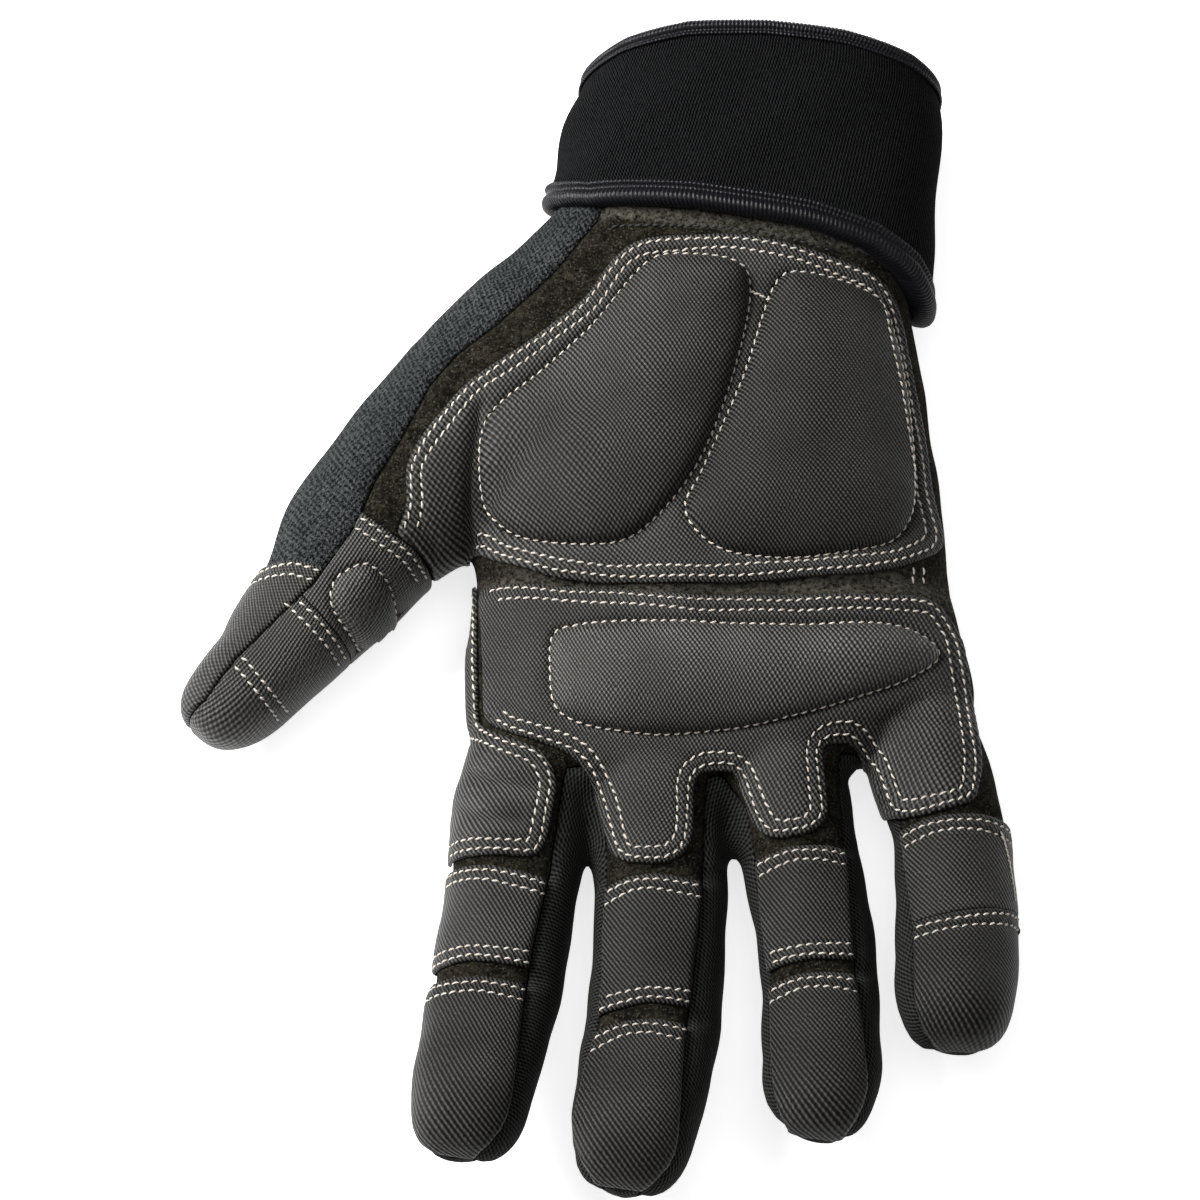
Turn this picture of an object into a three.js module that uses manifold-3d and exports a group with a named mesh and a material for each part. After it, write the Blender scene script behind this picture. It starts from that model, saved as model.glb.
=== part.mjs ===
import * as THREE from 'three';
import { mergeVertices } from 'three/addons/utils/BufferGeometryUtils.js';
import Module from 'manifold-3d';

// Anti-vibration work glove for the right hand, lying on its back with the palm up.
// Millimetres. +X runs from the thumb side to the little finger, +Y from the fingertips
// to the cuff, +Z out of the palm. The origin is on the flat of the back, under the palm.

const wasm = await Module();
wasm.setup();

// Driving dimensions
const SHELL = 1.5;            // suede, knit and terry of the hand
const SKIN = 1.1;             // woven overlay cloth sewn on the shell
const GAP = 0.3;              // clearance between a piece and what carries it
const SEAM = 0.35;            // width of a seam between two pieces of the shell
const HAND_SIDES = 22;
const FINGER_SIDES = 10;
const HAND_POWER = 2.5;       // squareness of the hand's sections
const FINGER_POWER = 2.25;    // squareness of a digit's sections
const TIP_TURNS = [0.42, 0.83];  // rings round a fingertip, as shares of a quarter turn
const TIP_FULLNESS = 0.7;
const FINGER_END = -59;       // sections past this close the hand between the fingers
const HIGH = 80;              // past everything, up or down
const WIDE = 140;             // past everything, to either side
const RIM_STEPS = 12;         // corrections that find where a corner line meets a rim
const CUFF_LIFT = 1.8;        // neoprene band above the shell that it is sewn to
const CUFF_WALL = 2.5;
const CUFF_FLOOR = 1.9;       // the band is flattened where it lies on its tab
const CUFF_TUCK = 7;          // shell under the band
const LIP = 1.2;              // ribbed binding, folded over both faces of the band
const LIP_LOW = 0.6;          // its inner lip above the shell
const LIP_REACH = 4.5;
const TAB_THICK = 1.6;

// Sections of the hand from the cuff mouth to the finger roots
const HAND_ROWS = [
  { y: 120, left: -16, right: 46, bottom: 8, top: 40 },
  { y: 104, left: -20, right: 48.5, bottom: 7.5, top: 40.5 },
  { y: 94, left: -24.2, right: 50, bottom: 7, top: 40.5 },
  { y: 72, left: -27.4, right: 48.3, bottom: 5, top: 38.8 },
  { y: 55, left: -34, right: 46, bottom: 1, top: 37.5 },
  { y: 36, left: -43.5, right: 48, bottom: -2, top: 36.5 },
  { y: 14, left: -48, right: 51, bottom: -2.5, top: 36 },
  { y: -14, left: -48.3, right: 55.4, bottom: -2.5, top: 34 },
  { y: -38, left: -49, right: 58.4, bottom: -0.5, top: 30.8 },
  { y: -53, left: -45.6, right: 44, bottom: 4, top: 26.2 },
  { y: -60, left: -42, right: 28, bottom: 9, top: 21 },
];

// Sections along each digit: centre, half width across it and half thickness
const DIGITS = {
  thumb: [
    { x: -9, y: 61, z: 18, wide: 22.5, thick: 14 },
    { x: -32, y: 40, z: 18.5, wide: 26.8, thick: 17 },
    { x: -53.6, y: 20.6, z: 18.5, wide: 22.4, thick: 16.3 },
    { x: -70.9, y: 2.2, z: 18, wide: 18.4, thick: 15 },
    { x: -82.2, y: -13.6, z: 17.4, wide: 14.4, thick: 13.4 },
    { x: -94, y: -28.8, z: 16.5, wide: 11.2, thick: 11.2 },
  ],
  index: [
    { x: -33.5, y: -36, z: 15, wide: 11.5, thick: 10 },
    { x: -37, y: -58, z: 15, wide: 14.4, thick: 13 },
    { x: -39.8, y: -80, z: 15.7, wide: 14, thick: 12.3 },
    { x: -42.7, y: -101, z: 18.5, wide: 13.5, thick: 11.7 },
    { x: -46.2, y: -120, z: 23, wide: 12.7, thick: 10.8 },
  ],
  middle: [
    { x: -9.5, y: -36, z: 15, wide: 12, thick: 10 },
    { x: -9, y: -58, z: 15, wide: 14.6, thick: 13 },
    { x: -8.6, y: -82, z: 15.8, wide: 14.6, thick: 12.5 },
    { x: -9.6, y: -105, z: 18.8, wide: 14.3, thick: 11.9 },
    { x: -13, y: -126.5, z: 24, wide: 14.2, thick: 11 },
  ],
  ring: [
    { x: 15, y: -36, z: 15, wide: 11.5, thick: 10 },
    { x: 18.4, y: -56, z: 15, wide: 13.7, thick: 12.6 },
    { x: 22.4, y: -77, z: 15.8, wide: 13.1, thick: 11.9 },
    { x: 24.6, y: -98, z: 18.2, wide: 13, thick: 11.3 },
    { x: 24.8, y: -117, z: 22, wide: 12.9, thick: 10.6 },
  ],
  little: [
    { x: 42.5, y: -28, z: 15, wide: 11, thick: 9.5 },
    { x: 48.4, y: -48, z: 15, wide: 12.8, thick: 12.4 },
    { x: 52.2, y: -66, z: 15.6, wide: 12.7, thick: 11.8 },
    { x: 53.4, y: -84, z: 17.8, wide: 13, thick: 11.2 },
    { x: 52.6, y: -99, z: 21.3, wide: 12.8, thick: 10.4 },
  ],
};
const TIPS = {
  thumb: { x: -106, y: -42.5, z: 15.5 },
  index: { x: -50, y: -137.6, z: 28.6 },
  middle: { x: -16.2, y: -145.6, z: 30.2 },
  ring: { x: 23.2, y: -134, z: 27.2 },
  little: { x: 51.6, y: -115, z: 25.6 },
};

// Height of the side seam between the palm and the back, along the hand
const SIDE_SEAM = [
  { y: 130, z: 17 },
  { y: -78, z: 15 },
  { y: -95, z: 17.5 },
  { y: -110, z: 21 },
  { y: -125, z: 25 },
  { y: -160, z: 34 },
];

// Seen from above: the seam between terry and suede, from the wrist to the thumb tip
const THUMB_SEAM = [
  [-18, 84], [-22, 68], [-30, 58.5], [-43, 45], [-52, 38], [-58, 30.5], [-64, 17.5],
  [-69.5, 8], [-74, -3.5], [-82, -14.5], [-98, -30], [-104.5, -38], [-114, -44],
];

// Lines where the cuff's lower and upper rims run, thumb side first
const RIM_LOW = [
  [-60, 74.6], [-27, 74.2], [-20, 71.8], [0, 69.5], [22, 65.5], [35, 61.5], [43, 57], [48, 51], [56, 40],
];
const RIM_HIGH = [
  [-60, 96], [-22, 104.5], [-12, 108.3], [0, 110], [15, 109.8], [30, 108], [43, 105], [52, 101], [60, 97],
];

// Knit side walls between the fingers, each from one tip over the crotch to the other tip
const FOURCHETTES = {
  index_middle: [
    [-53, -144], [-41.5, -135.5], [-38.8, -128], [-33.4, -95], [-28.6, -60], [-27, -55],
    [-24, -55], [-21.6, -62], [-19.8, -82], [-20.8, -104], [-23.6, -122], [-23.6, -136], [-18, -155],
  ],
  middle_ring: [
    [-16, -152], [-6.2, -140], [-4.6, -130], [0.2, -97], [1.8, -80], [1.8, -55.5], [5, -55.5],
    [8, -62], [12.4, -78], [14.8, -98], [15.2, -116], [17, -128], [19.6, -135], [20, -145],
  ],
  ring_little: [
    [24, -142], [32.4, -129], [34.2, -120], [33.6, -96], [31.6, -74], [30, -50], [35.4, -50],
    [40, -58], [43.6, -68], [45.2, -84], [45.2, -100], [46.4, -109], [50, -114.4], [56, -126],
  ],
};

// Outlines of the woven overlays, seen from above
const OVERLAYS = {
  palm_heel_overlay: [
    [-65.8, -3.1], [-63.4, -1], [-62.2, 4], [-63.2, 10.5], [-60.5, 16.5], [-56, 22.5], [-50, 30.5],
    [-37.5, 38.8], [-30.5, 44.2], [-24.5, 49.5], [-20, 56.5], [-16.5, 60.5], [-11, 62.9],
    [9, 63.6], [20, 61.3], [38.5, 56.4], [42.2, 53.2], [43.8, 48],
    [48.6, 19], [49.6, 6], [51, -2], [51, -9.6], [34, -12.4], [12.6, -14.6], [-1, -15.2],
    [-20, -14.8], [-32, -12.6], [-44, -7.6], [-48.6, -3], [-51.6, -8.6],
    [-53.4, -11.8], [-56, -9], [-60.9, -5.4],
  ],
  knuckle_overlay: [
    [-46.8, -13], [-29.8, -15], [0, -18], [20, -17.8], [49, -16], [51.5, -17.4],
    [55.8, -24], [59.2, -52], [57.8, -61.4], [52, -63.6], [44.8, -65], [39.6, -63.6],
    [36.2, -53], [32, -47.4], [25.3, -48.6], [26.6, -65.2], [23.2, -69], [15, -70.2],
    [11.6, -67.2], [9.5, -61], [7.6, -54.2], [0, -54.6], [-1.7, -56.6], [-1.9, -69.5],
    [-3.6, -73.6], [-7.5, -75.7], [-15.5, -75.5], [-18.8, -73.3], [-21.3, -61], [-23.6, -54.8],
    [-27, -51.2], [-42.5, -46], [-46.8, -42],
  ],
  index_overlay: [
    [-51.6, -12.4], [-48.4, -9.6], [-47.4, -14], [-47.3, -42.6], [-42.8, -46.9], [-34, -50],
    [-31.4, -53.4], [-30.4, -58], [-32.4, -70], [-34.2, -74], [-40, -73.8],
    [-66, -72], [-66, -46], [-53.4, -32],
  ],
  index_mid_patch: [
    [-66, -74.4], [-53.9, -74.7], [-44.3, -75.7], [-31, -79.2],
    [-34, -98.8], [-48.3, -97], [-66, -98.2],
  ],
  index_tip_patch: [
    [-66, -101.2], [-56.7, -100.8], [-46.1, -100.6], [-35, -102.8], [-39.2, -126],
    [-42, -135], [-48, -139.8], [-53, -143], [-66, -143],
  ],
  middle_mid_patch: [
    [-21.9, -80.8], [-15, -78.2], [-9.8, -77.8], [1.6, -79.4], [0.1, -97], [-1.3, -107.3], [-11, -106.6],
    [-22.8, -108.8],
  ],
  middle_tip_patch: [
    [-24.2, -113.6], [-17.2, -110.6], [-11, -110], [-2.4, -111.5], [-4.9, -130], [-6.6, -140],
    [-12.4, -146.4], [-17, -153], [-24, -146], [-27.4, -137], [-27, -127],
  ],
  ring_mid_patch: [
    [9.9, -74.4], [18.5, -71.6], [24.8, -71.2], [31.9, -71.8],
    [33.1, -96.6], [22.3, -97], [11.9, -98.4],
  ],
  ring_tip_patch: [
    [12.3, -102.4], [20, -100], [26.3, -99.6], [33.6, -100.4], [33.6, -125], [31.6, -130.6],
    [28, -135.4], [24, -139], [20, -138], [17.6, -133.4], [14.8, -128], [13, -120],
  ],
  little_mid_patch: [
    [40.2, -68.2], [46.5, -65.9], [52, -64.9], [58, -64.5],
    [72, -66], [72, -86], [56.5, -88.8], [42, -91.8],
  ],
  little_tip_patch: [
    [42.1, -92.4], [56.5, -89.4], [72, -86.6], [72, -121],
    [57, -122], [49.6, -115.6], [45.2, -111.4], [43, -105],
  ],
};

// Woven pieces of the thumb: two on the palm side of its seam, a cap on the other side
const THUMB_CAP = [
  [-78.5, -11.4], [-86, -8.8], [-94, -8.4], [-120, -10], [-120, -60], [-100, -60], [-70, -20],
];
const THUMB_FRONT = [
  [-76, 2], [-72, 0.7], [-66.5, -3.1], [-61.2, -5.9], [-56.6, -9.6], [-54, -12.5],
  [-62, -40], [-72.6, -28], [-77.6, -23.2], [-86, -15],
];
const THUMB_END = [
  [-90, -12], [-86.3, -15.4], [-77.9, -23.7], [-72.9, -28.5], [-60, -44], [-100, -70], [-125, -50],
];
const THUMB_BLOCK = { right: -48, low: 11 };   // these two lie left of and above this

// Gel pads: stitch outline from above, corners round it, and the swell over its overlay
const PADS = {
  thenar_pad: {
    spokes: 22,
    swell: 6.5,
    rim: [
      [-10, 58], [-3, 59], [9, 56.5], [11, 52], [6.2, 28], [-2, 8.6], [-10.6, -2], [-17, -5.8],
      [-28, -5.8], [-38.6, -3.2], [-45, 2], [-47, 11], [-45.2, 22], [-33, 33.4], [-23.6, 42.4],
    ],
  },
  hypothenar_pad: {
    spokes: 20,
    swell: 6,
    rim: [
      [17.6, 53.6], [22, 54.9], [35, 52.8], [39.6, 50], [42.6, 41], [44.8, 28], [46, 10], [45, 1],
      [41, -4.6], [31, -8], [18, -9.6], [5, -8], [-1.4, -3.2], [-3.2, 1.6], [0, 8.6], [9.2, 30],
    ],
  },
  knuckle_pad: {
    spokes: 20,
    swell: 4,
    rim: [
      [-30.6, -25.4], [-26, -24], [21, -24.2], [42, -23.4], [49, -26.4], [50.6, -29.2], [45, -34.2],
      [33.6, -39.2], [16.6, -44.2], [0, -46.8], [-12, -47.2], [-26, -44.4], [-30.6, -41], [-31.8, -33],
    ],
  },
  thumb_pad: {
    spokes: 12,
    swell: 2,
    rim: [
      [-71.6, -9.2], [-67, -10.8], [-65.2, -14.6], [-67, -18.8],
      [-71.8, -22], [-76.6, -21.6], [-78.6, -17.4], [-76.6, -11.8],
    ],
  },
};
const PAD_RINGS = [0.4, 0.72, 0.92, 1];
const PAD_SUNK = 4;           // trimmed off again by the shell under the pad
const padLift = (share) => (1 - share ** 3) ** 0.6;
const CLOSURE_TAB = { left: -22, right: 36, low: 72, high: 98, corner: 6 };

const power = (value, exponent) => Math.sign(value) * Math.abs(value) ** exponent;

// A closed skin through rings of points, with a flat fan over each end
function loft(rings) {
  const sides = rings[0].length;
  const points = rings.flat();
  const faces = [];
  for (let ring = 0; ring + 1 < rings.length; ring += 1) {
    for (let side = 0; side < sides; side += 1) {
      const next = (side + 1) % sides;
      const a = ring * sides + side;
      const b = ring * sides + next;
      faces.push(a, b, b + sides);
      faces.push(a, b + sides, a + sides);
    }
  }
  const ends = [[0, 1], [(rings.length - 1) * sides, -1]];
  for (const [start, turn] of ends) {
    const middle = new THREE.Vector3();
    for (let side = 0; side < sides; side += 1) middle.add(points[start + side]);
    points.push(middle.divideScalar(sides));
    for (let side = 0; side < sides; side += 1) {
      const next = (side + 1) % sides;
      const edge = turn > 0 ? [start + next, start + side] : [start + side, start + next];
      faces.push(...edge, points.length - 1);
    }
  }
  return solid(points, faces);
}

function solid(points, faces) {
  const geometry = new THREE.BufferGeometry().setFromPoints(points);
  geometry.setIndex(faces);
  return toManifold(geometry);
}

function toManifold(geometry) {
  const bare = geometry.clone();
  bare.deleteAttribute('normal');
  bare.deleteAttribute('uv');
  const merged = mergeVertices(bare, 1e-4);
  const vertProperties = new Float32Array(merged.attributes.position.array);
  const triVerts = new Uint32Array(merged.index.array);
  return new wasm.Manifold(new wasm.Mesh({ numProp: 3, vertProperties, triVerts }));
}

function ellipsePoint(angle, wide, thick, exponent) {
  const across = wide * power(Math.cos(angle), 2 / exponent);
  const up = thick * power(Math.sin(angle), 2 / exponent);
  return [across, up];
}

// One corner of a section of the hand; the finger end moves out with the offset too
function handPoint(row, side, offset) {
  const angle = (2 * Math.PI * side) / HAND_SIDES;
  const wide = (row.right - row.left) / 2 + offset;
  const thick = (row.top - row.bottom) / 2 + offset;
  const [across, up] = ellipsePoint(angle, wide, thick, HAND_POWER);
  const y = row.y - (row.y < FINGER_END ? offset : 0);
  return new THREE.Vector3((row.right + row.left) / 2 + across, y, (row.top + row.bottom) / 2 + up);
}

// The hand without its digits, grown by an offset
function handSolid(offset) {
  const rings = HAND_ROWS.map((row) => {
    const ring = [];
    for (let side = 0; side < HAND_SIDES; side += 1) ring.push(handPoint(row, side, offset));
    return ring;
  });
  return loft(rings);
}

// One digit: straight rings square to its axis, then a rounded tip
function digitSolid(name, offset) {
  const rows = DIGITS[name];
  const tip = new THREE.Vector3(TIPS[name].x, TIPS[name].y, TIPS[name].z);
  const centres = rows.map((row) => new THREE.Vector3(row.x, row.y, row.z));
  const last = centres.at(-1);
  const reach = tip.clone().sub(last);
  const stations = rows.map((row, number) => ({ ...row, centre: centres[number] }));
  const { wide, thick } = rows.at(-1);
  for (const turn of TIP_TURNS) {
    const along = Math.sin((turn * Math.PI) / 2);
    const shrink = Math.cos((turn * Math.PI) / 2) ** TIP_FULLNESS;
    stations.push({
      centre: last.clone().addScaledVector(reach, along),
      wide: wide * shrink,
      thick: thick * shrink,
      tipPart: along,
    });
  }
  const rings = stations.map((station, number) => {
    const before = stations[Math.max(number - 1, 0)].centre;
    const after = stations[Math.min(number + 1, stations.length - 1)].centre;
    const axis = after.clone().sub(before).normalize();
    const across = new THREE.Vector3(-axis.y, axis.x, 0).normalize();
    const up = new THREE.Vector3().crossVectors(across, axis).multiplyScalar(-1);
    if (up.z < 0) up.negate();
    const push = station.tipPart ? offset * station.tipPart : 0;
    const middle = station.centre.clone().addScaledVector(axis, push);
    const ring = [];
    for (let side = 0; side < FINGER_SIDES; side += 1) {
      const angle = (2 * Math.PI * (side + 0.5)) / FINGER_SIDES;
      const [a, b] = ellipsePoint(angle, station.wide + offset, station.thick + offset, FINGER_POWER);
      ring.push(middle.clone().addScaledVector(across, a).addScaledVector(up, b));
    }
    return ring;
  });
  return loft(rings);
}

function bodySolid(offset) {
  let body = handSolid(offset);
  for (const name of Object.keys(DIGITS)) body = body.add(digitSolid(name, offset));
  return body;
}

// Straight-sided block over an outline seen from above
function prism(outline, low = -HIGH, high = HIGH) {
  const shape = new THREE.Shape(outline.map(([x, y]) => new THREE.Vector2(x, y)));
  const block = new THREE.ExtrudeGeometry(shape, { depth: high - low, bevelEnabled: false });
  return toManifold(block.translate(0, 0, low));
}

// A smooth closed line through a few points
function smooth(outline, count) {
  const points = outline.map(([x, y]) => new THREE.Vector3(x, y, 0));
  const curve = new THREE.CatmullRomCurve3(points, true, 'centripetal');
  const line = curve.getSpacedPoints(count).slice(0, count).map((point) => [point.x, point.y]);
  return turnOf(line) > 0 ? line : line.reverse();
}

// +1 for an outline that runs counter-clockwise
function turnOf(outline) {
  return Math.sign(THREE.ShapeUtils.area(outline.map(([x, y]) => new THREE.Vector2(x, y))));
}

// Moves an outline outwards by a distance, or inwards if it is negative
function inflate(outline, distance) {
  const turn = turnOf(outline);
  return outline.map(([x, y], number) => {
    const [xa, ya] = outline[(number + outline.length - 1) % outline.length];
    const [xb, yb] = outline[(number + 1) % outline.length];
    const before = new THREE.Vector2(x - xa, y - ya).normalize();
    const after = new THREE.Vector2(xb - x, yb - y).normalize();
    const along = before.clone().add(after).normalize();
    const stretch = distance / Math.max(along.dot(before), 0.5);
    return [x + turn * along.y * stretch, y - turn * along.x * stretch];
  });
}

const box = (size, middle) => toManifold(new THREE.BoxGeometry(...size).translate(...middle));
const above = (z) => box([2 * WIDE, 4 * WIDE, HIGH], [0, 0, z + HIGH / 2]);

// Everything on the palm side (or, turned round, the back side) of the side seam
function sideOfSeam(palmSide) {
  const shift = palmSide ? SEAM / 2 : -SEAM / 2;
  const line = SIDE_SEAM.map(({ y, z }) => new THREE.Vector2(y, z + shift));
  const far = palmSide ? HIGH : -HIGH;
  const ends = [SIDE_SEAM.at(-1), SIDE_SEAM[0]].map(({ y }) => new THREE.Vector2(y, far));
  const shape = new THREE.Shape([...line, ...ends]);
  const block = new THREE.ExtrudeGeometry(shape, { depth: 2 * WIDE, bevelEnabled: false });
  block.translate(0, 0, -WIDE);
  const turn = new THREE.Matrix4().makeBasis(
    new THREE.Vector3(0, 1, 0), new THREE.Vector3(0, 0, 1), new THREE.Vector3(1, 0, 0));
  return toManifold(block.applyMatrix4(turn));
}

// Height of a rim line over the hand's width
function rimAt(rim, x) {
  const end = rim.findIndex(([at]) => at > x);
  const [xa, ya] = rim[end - 1];
  const [xb, yb] = rim[end];
  return ya + ((yb - ya) * (x - xa)) / (xb - xa);
}

// Where the hand's corner line of one side passes a given place along the hand
function cornerAt(side, y, offset) {
  const row = HAND_ROWS.findIndex((next, number) => number > 0 && next.y <= y);
  const ends = [HAND_ROWS[row - 1], HAND_ROWS[row]];
  const [from, to] = ends.map((section) => handPoint(section, side, offset));
  return from.lerp(to, (ends[0].y - y) / (ends[0].y - ends[1].y));
}

// The point of one corner line on a rim, found by a few steps of trial and correction
function rimPoint(rim, side, offset, shift) {
  let y = rimAt(rim, 0);
  for (let step = 0; step < RIM_STEPS; step += 1) y = rimAt(rim, cornerAt(side, y, 0).x);
  return cornerAt(side, y + shift, offset);
}

// A closed ring round the wrist: one section at each corner line, joined all the way round
function wristRing(sectionAt) {
  const points = [];
  const faces = [];
  for (let side = 0; side < HAND_SIDES; side += 1) points.push(...sectionAt(side));
  const count = points.length / HAND_SIDES;
  for (let side = 0; side < HAND_SIDES; side += 1) {
    const next = (side + 1) % HAND_SIDES;
    for (let corner = 0; corner < count; corner += 1) {
      const after = (corner + 1) % count;
      const [a, b] = [side * count + corner, side * count + after];
      const [c, d] = [next * count + after, next * count + corner];
      faces.push(a, c, b, a, d, c);
    }
  }
  return solid(points, faces);
}

function toMesh(name, manifold, colour, roughness) {
  const mesh = manifold.getMesh();
  const geometry = new THREE.BufferGeometry();
  geometry.setAttribute('position', new THREE.BufferAttribute(mesh.vertProperties, 3));
  geometry.setIndex(new THREE.BufferAttribute(mesh.triVerts, 1));
  geometry.computeVertexNormals();
  const material = new THREE.MeshStandardMaterial({ color: colour, roughness, metalness: 0 });
  const result = new THREE.Mesh(geometry, material);
  result.name = name;
  return result;
}

const group = new THREE.Group();
const SUEDE = [0x3a362d, 0.95];
const KNIT = [0x17181a, 0.9];
const TERRY = [0x2b3236, 1];
const WOVEN = [0x45423f, 0.75];
const NEOPRENE = [0x1a1b1d, 0.85];
const RIBBED = [0x202127, 0.6];
const add = (name, manifold, [colour, roughness]) => group.add(toMesh(name, manifold, colour, roughness));

// The shell of the hand and its digits, open at the wrist and flattened under the back
const outer = bodySolid(0).intersect(above(0));
const inner = bodySolid(-SHELL).intersect(above(SHELL));
const fingerEnd = SIDE_SEAM.at(-1).y;
function handSide(shift) {
  const rim = RIM_LOW.map(([x, y]) => [x, y + shift]);
  const [thumbEnd, littleEnd] = [rim[0][1], rim.at(-1)[1]];
  return prism([...rim, [WIDE, littleEnd], [WIDE, fingerEnd], [-WIDE, fingerEnd], [-WIDE, thumbEnd]]);
}
const underCuff = handSolid(0).intersect(handSide(CUFF_TUCK));
const shell = outer.subtract(inner).intersect(handSide(-2.5 * LIP).add(underCuff));

const terryOutline = [...THUMB_SEAM, [-130, -50], [-130, 90]];
const terrySide = prism(inflate(terryOutline, -SEAM / 2));
const terryReach = prism(inflate(terryOutline, SEAM / 2));
add('thumb_terry', shell.intersect(terrySide), TERRY);
let panels = shell.subtract(terryReach);
for (const [name, outline] of Object.entries(FOURCHETTES)) {
  add(`fourchette_${name}`, shell.intersect(prism(inflate(outline, -SEAM / 2))), KNIT);
  panels = panels.subtract(prism(inflate(outline, SEAM / 2)));
}
const palmSide = sideOfSeam(true);
add('palm_panel', panels.intersect(palmSide), SUEDE);
add('back_panel', panels.intersect(sideOfSeam(false)), KNIT);

// Woven overlays follow the shell at a small clearance
const skinTop = bodySolid(GAP + SKIN);
const skinBase = bodySolid(GAP);
const skin = skinTop.subtract(skinBase);
const palmSkin = skin.intersect(palmSide);
const padShape = {};
for (const [name, pad] of Object.entries(PADS)) padShape[name] = smooth(pad.rim, pad.spokes);
const windows = {
  palm_heel_overlay: ['thenar_pad', 'hypothenar_pad'],
  knuckle_overlay: ['knuckle_pad'],
  thumb_front_patch: ['thumb_pad'],
};
function withWindows(name, manifold) {
  let piece = manifold;
  for (const pad of windows[name] ?? []) piece = piece.subtract(prism(padShape[pad]));
  return piece;
}
for (const [name, outline] of Object.entries(OVERLAYS)) {
  add(name, withWindows(name, palmSkin.intersect(prism(outline))), WOVEN);
}
const thumbMiddle = [THUMB_BLOCK.right - WIDE / 2, 0, THUMB_BLOCK.low + HIGH / 2];
const thumbReach = box([WIDE, 2 * WIDE, HIGH], thumbMiddle);
const thumbFront = skin.intersect(thumbReach).subtract(terryReach);
add('thumb_front_patch', withWindows('thumb_front_patch', thumbFront.intersect(prism(THUMB_FRONT))), WOVEN);
add('thumb_end_patch', thumbFront.intersect(prism(THUMB_END)), WOVEN);
add('thumb_back_cap', skin.intersect(terrySide).intersect(prism(THUMB_CAP)), WOVEN);

// Pads: pillows that start level with their overlay and swell towards the middle
const topMesh = toMesh('top', skinTop, 0, 1);
topMesh.material.side = THREE.DoubleSide;
const probe = new THREE.Raycaster();
function heightAt(x, y) {
  probe.set(new THREE.Vector3(x, y, HIGH), new THREE.Vector3(0, 0, -1));
  return probe.intersectObject(topMesh)[0].point.z;
}
function padSolid(name) {
  const { swell, spokes } = PADS[name];
  const rim = inflate(padShape[name], -GAP);
  const [midX, midY] = [0, 1].map((axis) => rim.reduce((sum, point) => sum + point[axis], 0) / spokes);
  const points = [new THREE.Vector3(midX, midY, heightAt(midX, midY) + swell * padLift(0))];
  for (const share of PAD_RINGS) {
    for (const corner of rim) {
      const x = midX + share * (corner[0] - midX);
      const y = midY + share * (corner[1] - midY);
      points.push(new THREE.Vector3(x, y, heightAt(x, y) + swell * padLift(share)));
    }
  }
  const outerRing = points.length - spokes;
  for (let spoke = 0; spoke < spokes; spoke += 1) {
    const { x, y, z } = points[outerRing + spoke];
    points.push(new THREE.Vector3(x, y, z - PAD_SUNK));
  }
  points.push(new THREE.Vector3(midX, midY, heightAt(midX, midY) - PAD_SUNK));
  const faces = [];
  for (let spoke = 0; spoke < spokes; spoke += 1) {
    const next = (spoke + 1) % spokes;
    faces.push(0, 1 + spoke, 1 + next);
    for (let ring = 0; ring < PAD_RINGS.length; ring += 1) {
      const a = 1 + ring * spokes + spoke;
      const b = 1 + ring * spokes + next;
      faces.push(a, a + spokes, b + spokes, a, b + spokes, b);
    }
    faces.push(outerRing + spokes + spoke, points.length - 1, outerRing + spokes + next);
  }
  return solid(points, faces);
}
for (const name of Object.keys(PADS)) {
  add(name, padSolid(name).subtract(skinBase), WOVEN);
}

// The cuff: a neoprene band sewn over the wrist end, with a folded binding on both rims
const cuffTop = CUFF_LIFT + CUFF_WALL;
const band = wristRing((side) => {
  const low = rimPoint(RIM_LOW, side, 0, 0).y;
  const high = rimPoint(RIM_HIGH, side, 0, 0).y;
  const stations = [low, low + LIP_REACH, high - LIP_REACH, high];
  return [
    ...stations.map((y) => cornerAt(side, y, CUFF_LIFT)),
    ...stations.map((y) => cornerAt(side, y, cuffTop)).reverse(),
  ];
});
add('cuff', band.intersect(above(CUFF_FLOOR)), NEOPRENE);

// Section of a binding: how far out from the shell, and how far past the rim
const lipOut = cuffTop + GAP + LIP;
const BINDING = [
  { out: LIP_LOW, past: -LIP_REACH },
  { out: LIP_LOW, past: GAP },
  { out: lipOut / 2, past: GAP + LIP },
  { out: lipOut, past: GAP },
  { out: lipOut, past: -LIP_REACH },
  { out: cuffTop + GAP, past: -LIP_REACH },
  { out: cuffTop + GAP, past: GAP },
  { out: CUFF_LIFT - GAP, past: GAP },
  { out: CUFF_LIFT - GAP, past: -LIP_REACH },
];
const bindingAt = (rim, side, way) => BINDING.map(({ out, past }) => rimPoint(rim, side, out, way * past));
const bindings = {
  cuff_binding_top: wristRing((side) => bindingAt(RIM_HIGH, side, 1)),
  cuff_binding_lower: wristRing((side) => bindingAt(RIM_LOW, side, -1).reverse()),
};
for (const [name, binding] of Object.entries(bindings)) {
  add(name, binding.intersect(above(TAB_THICK + GAP)), RIBBED);
}

// Hook and loop tab that closes the cuff, plain, between the band and what the glove lies on
function tabSolid() {
  const { left, right, low, high, corner } = CLOSURE_TAB;
  const shape = new THREE.Shape();
  shape.moveTo(left + corner, low);
  shape.lineTo(right, low);
  shape.lineTo(right, high);
  shape.lineTo(left + corner, high);
  shape.quadraticCurveTo(left, high, left, high - corner);
  shape.lineTo(left, low + corner);
  shape.quadraticCurveTo(left, low, left + corner, low);
  const size = { depth: TAB_THICK, bevelEnabled: false, curveSegments: 4 };
  return toManifold(new THREE.ExtrudeGeometry(shape, size));
}
add('closure_tab', tabSolid(), KNIT);
export default group;
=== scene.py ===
import math
from contextlib import contextmanager

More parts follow.
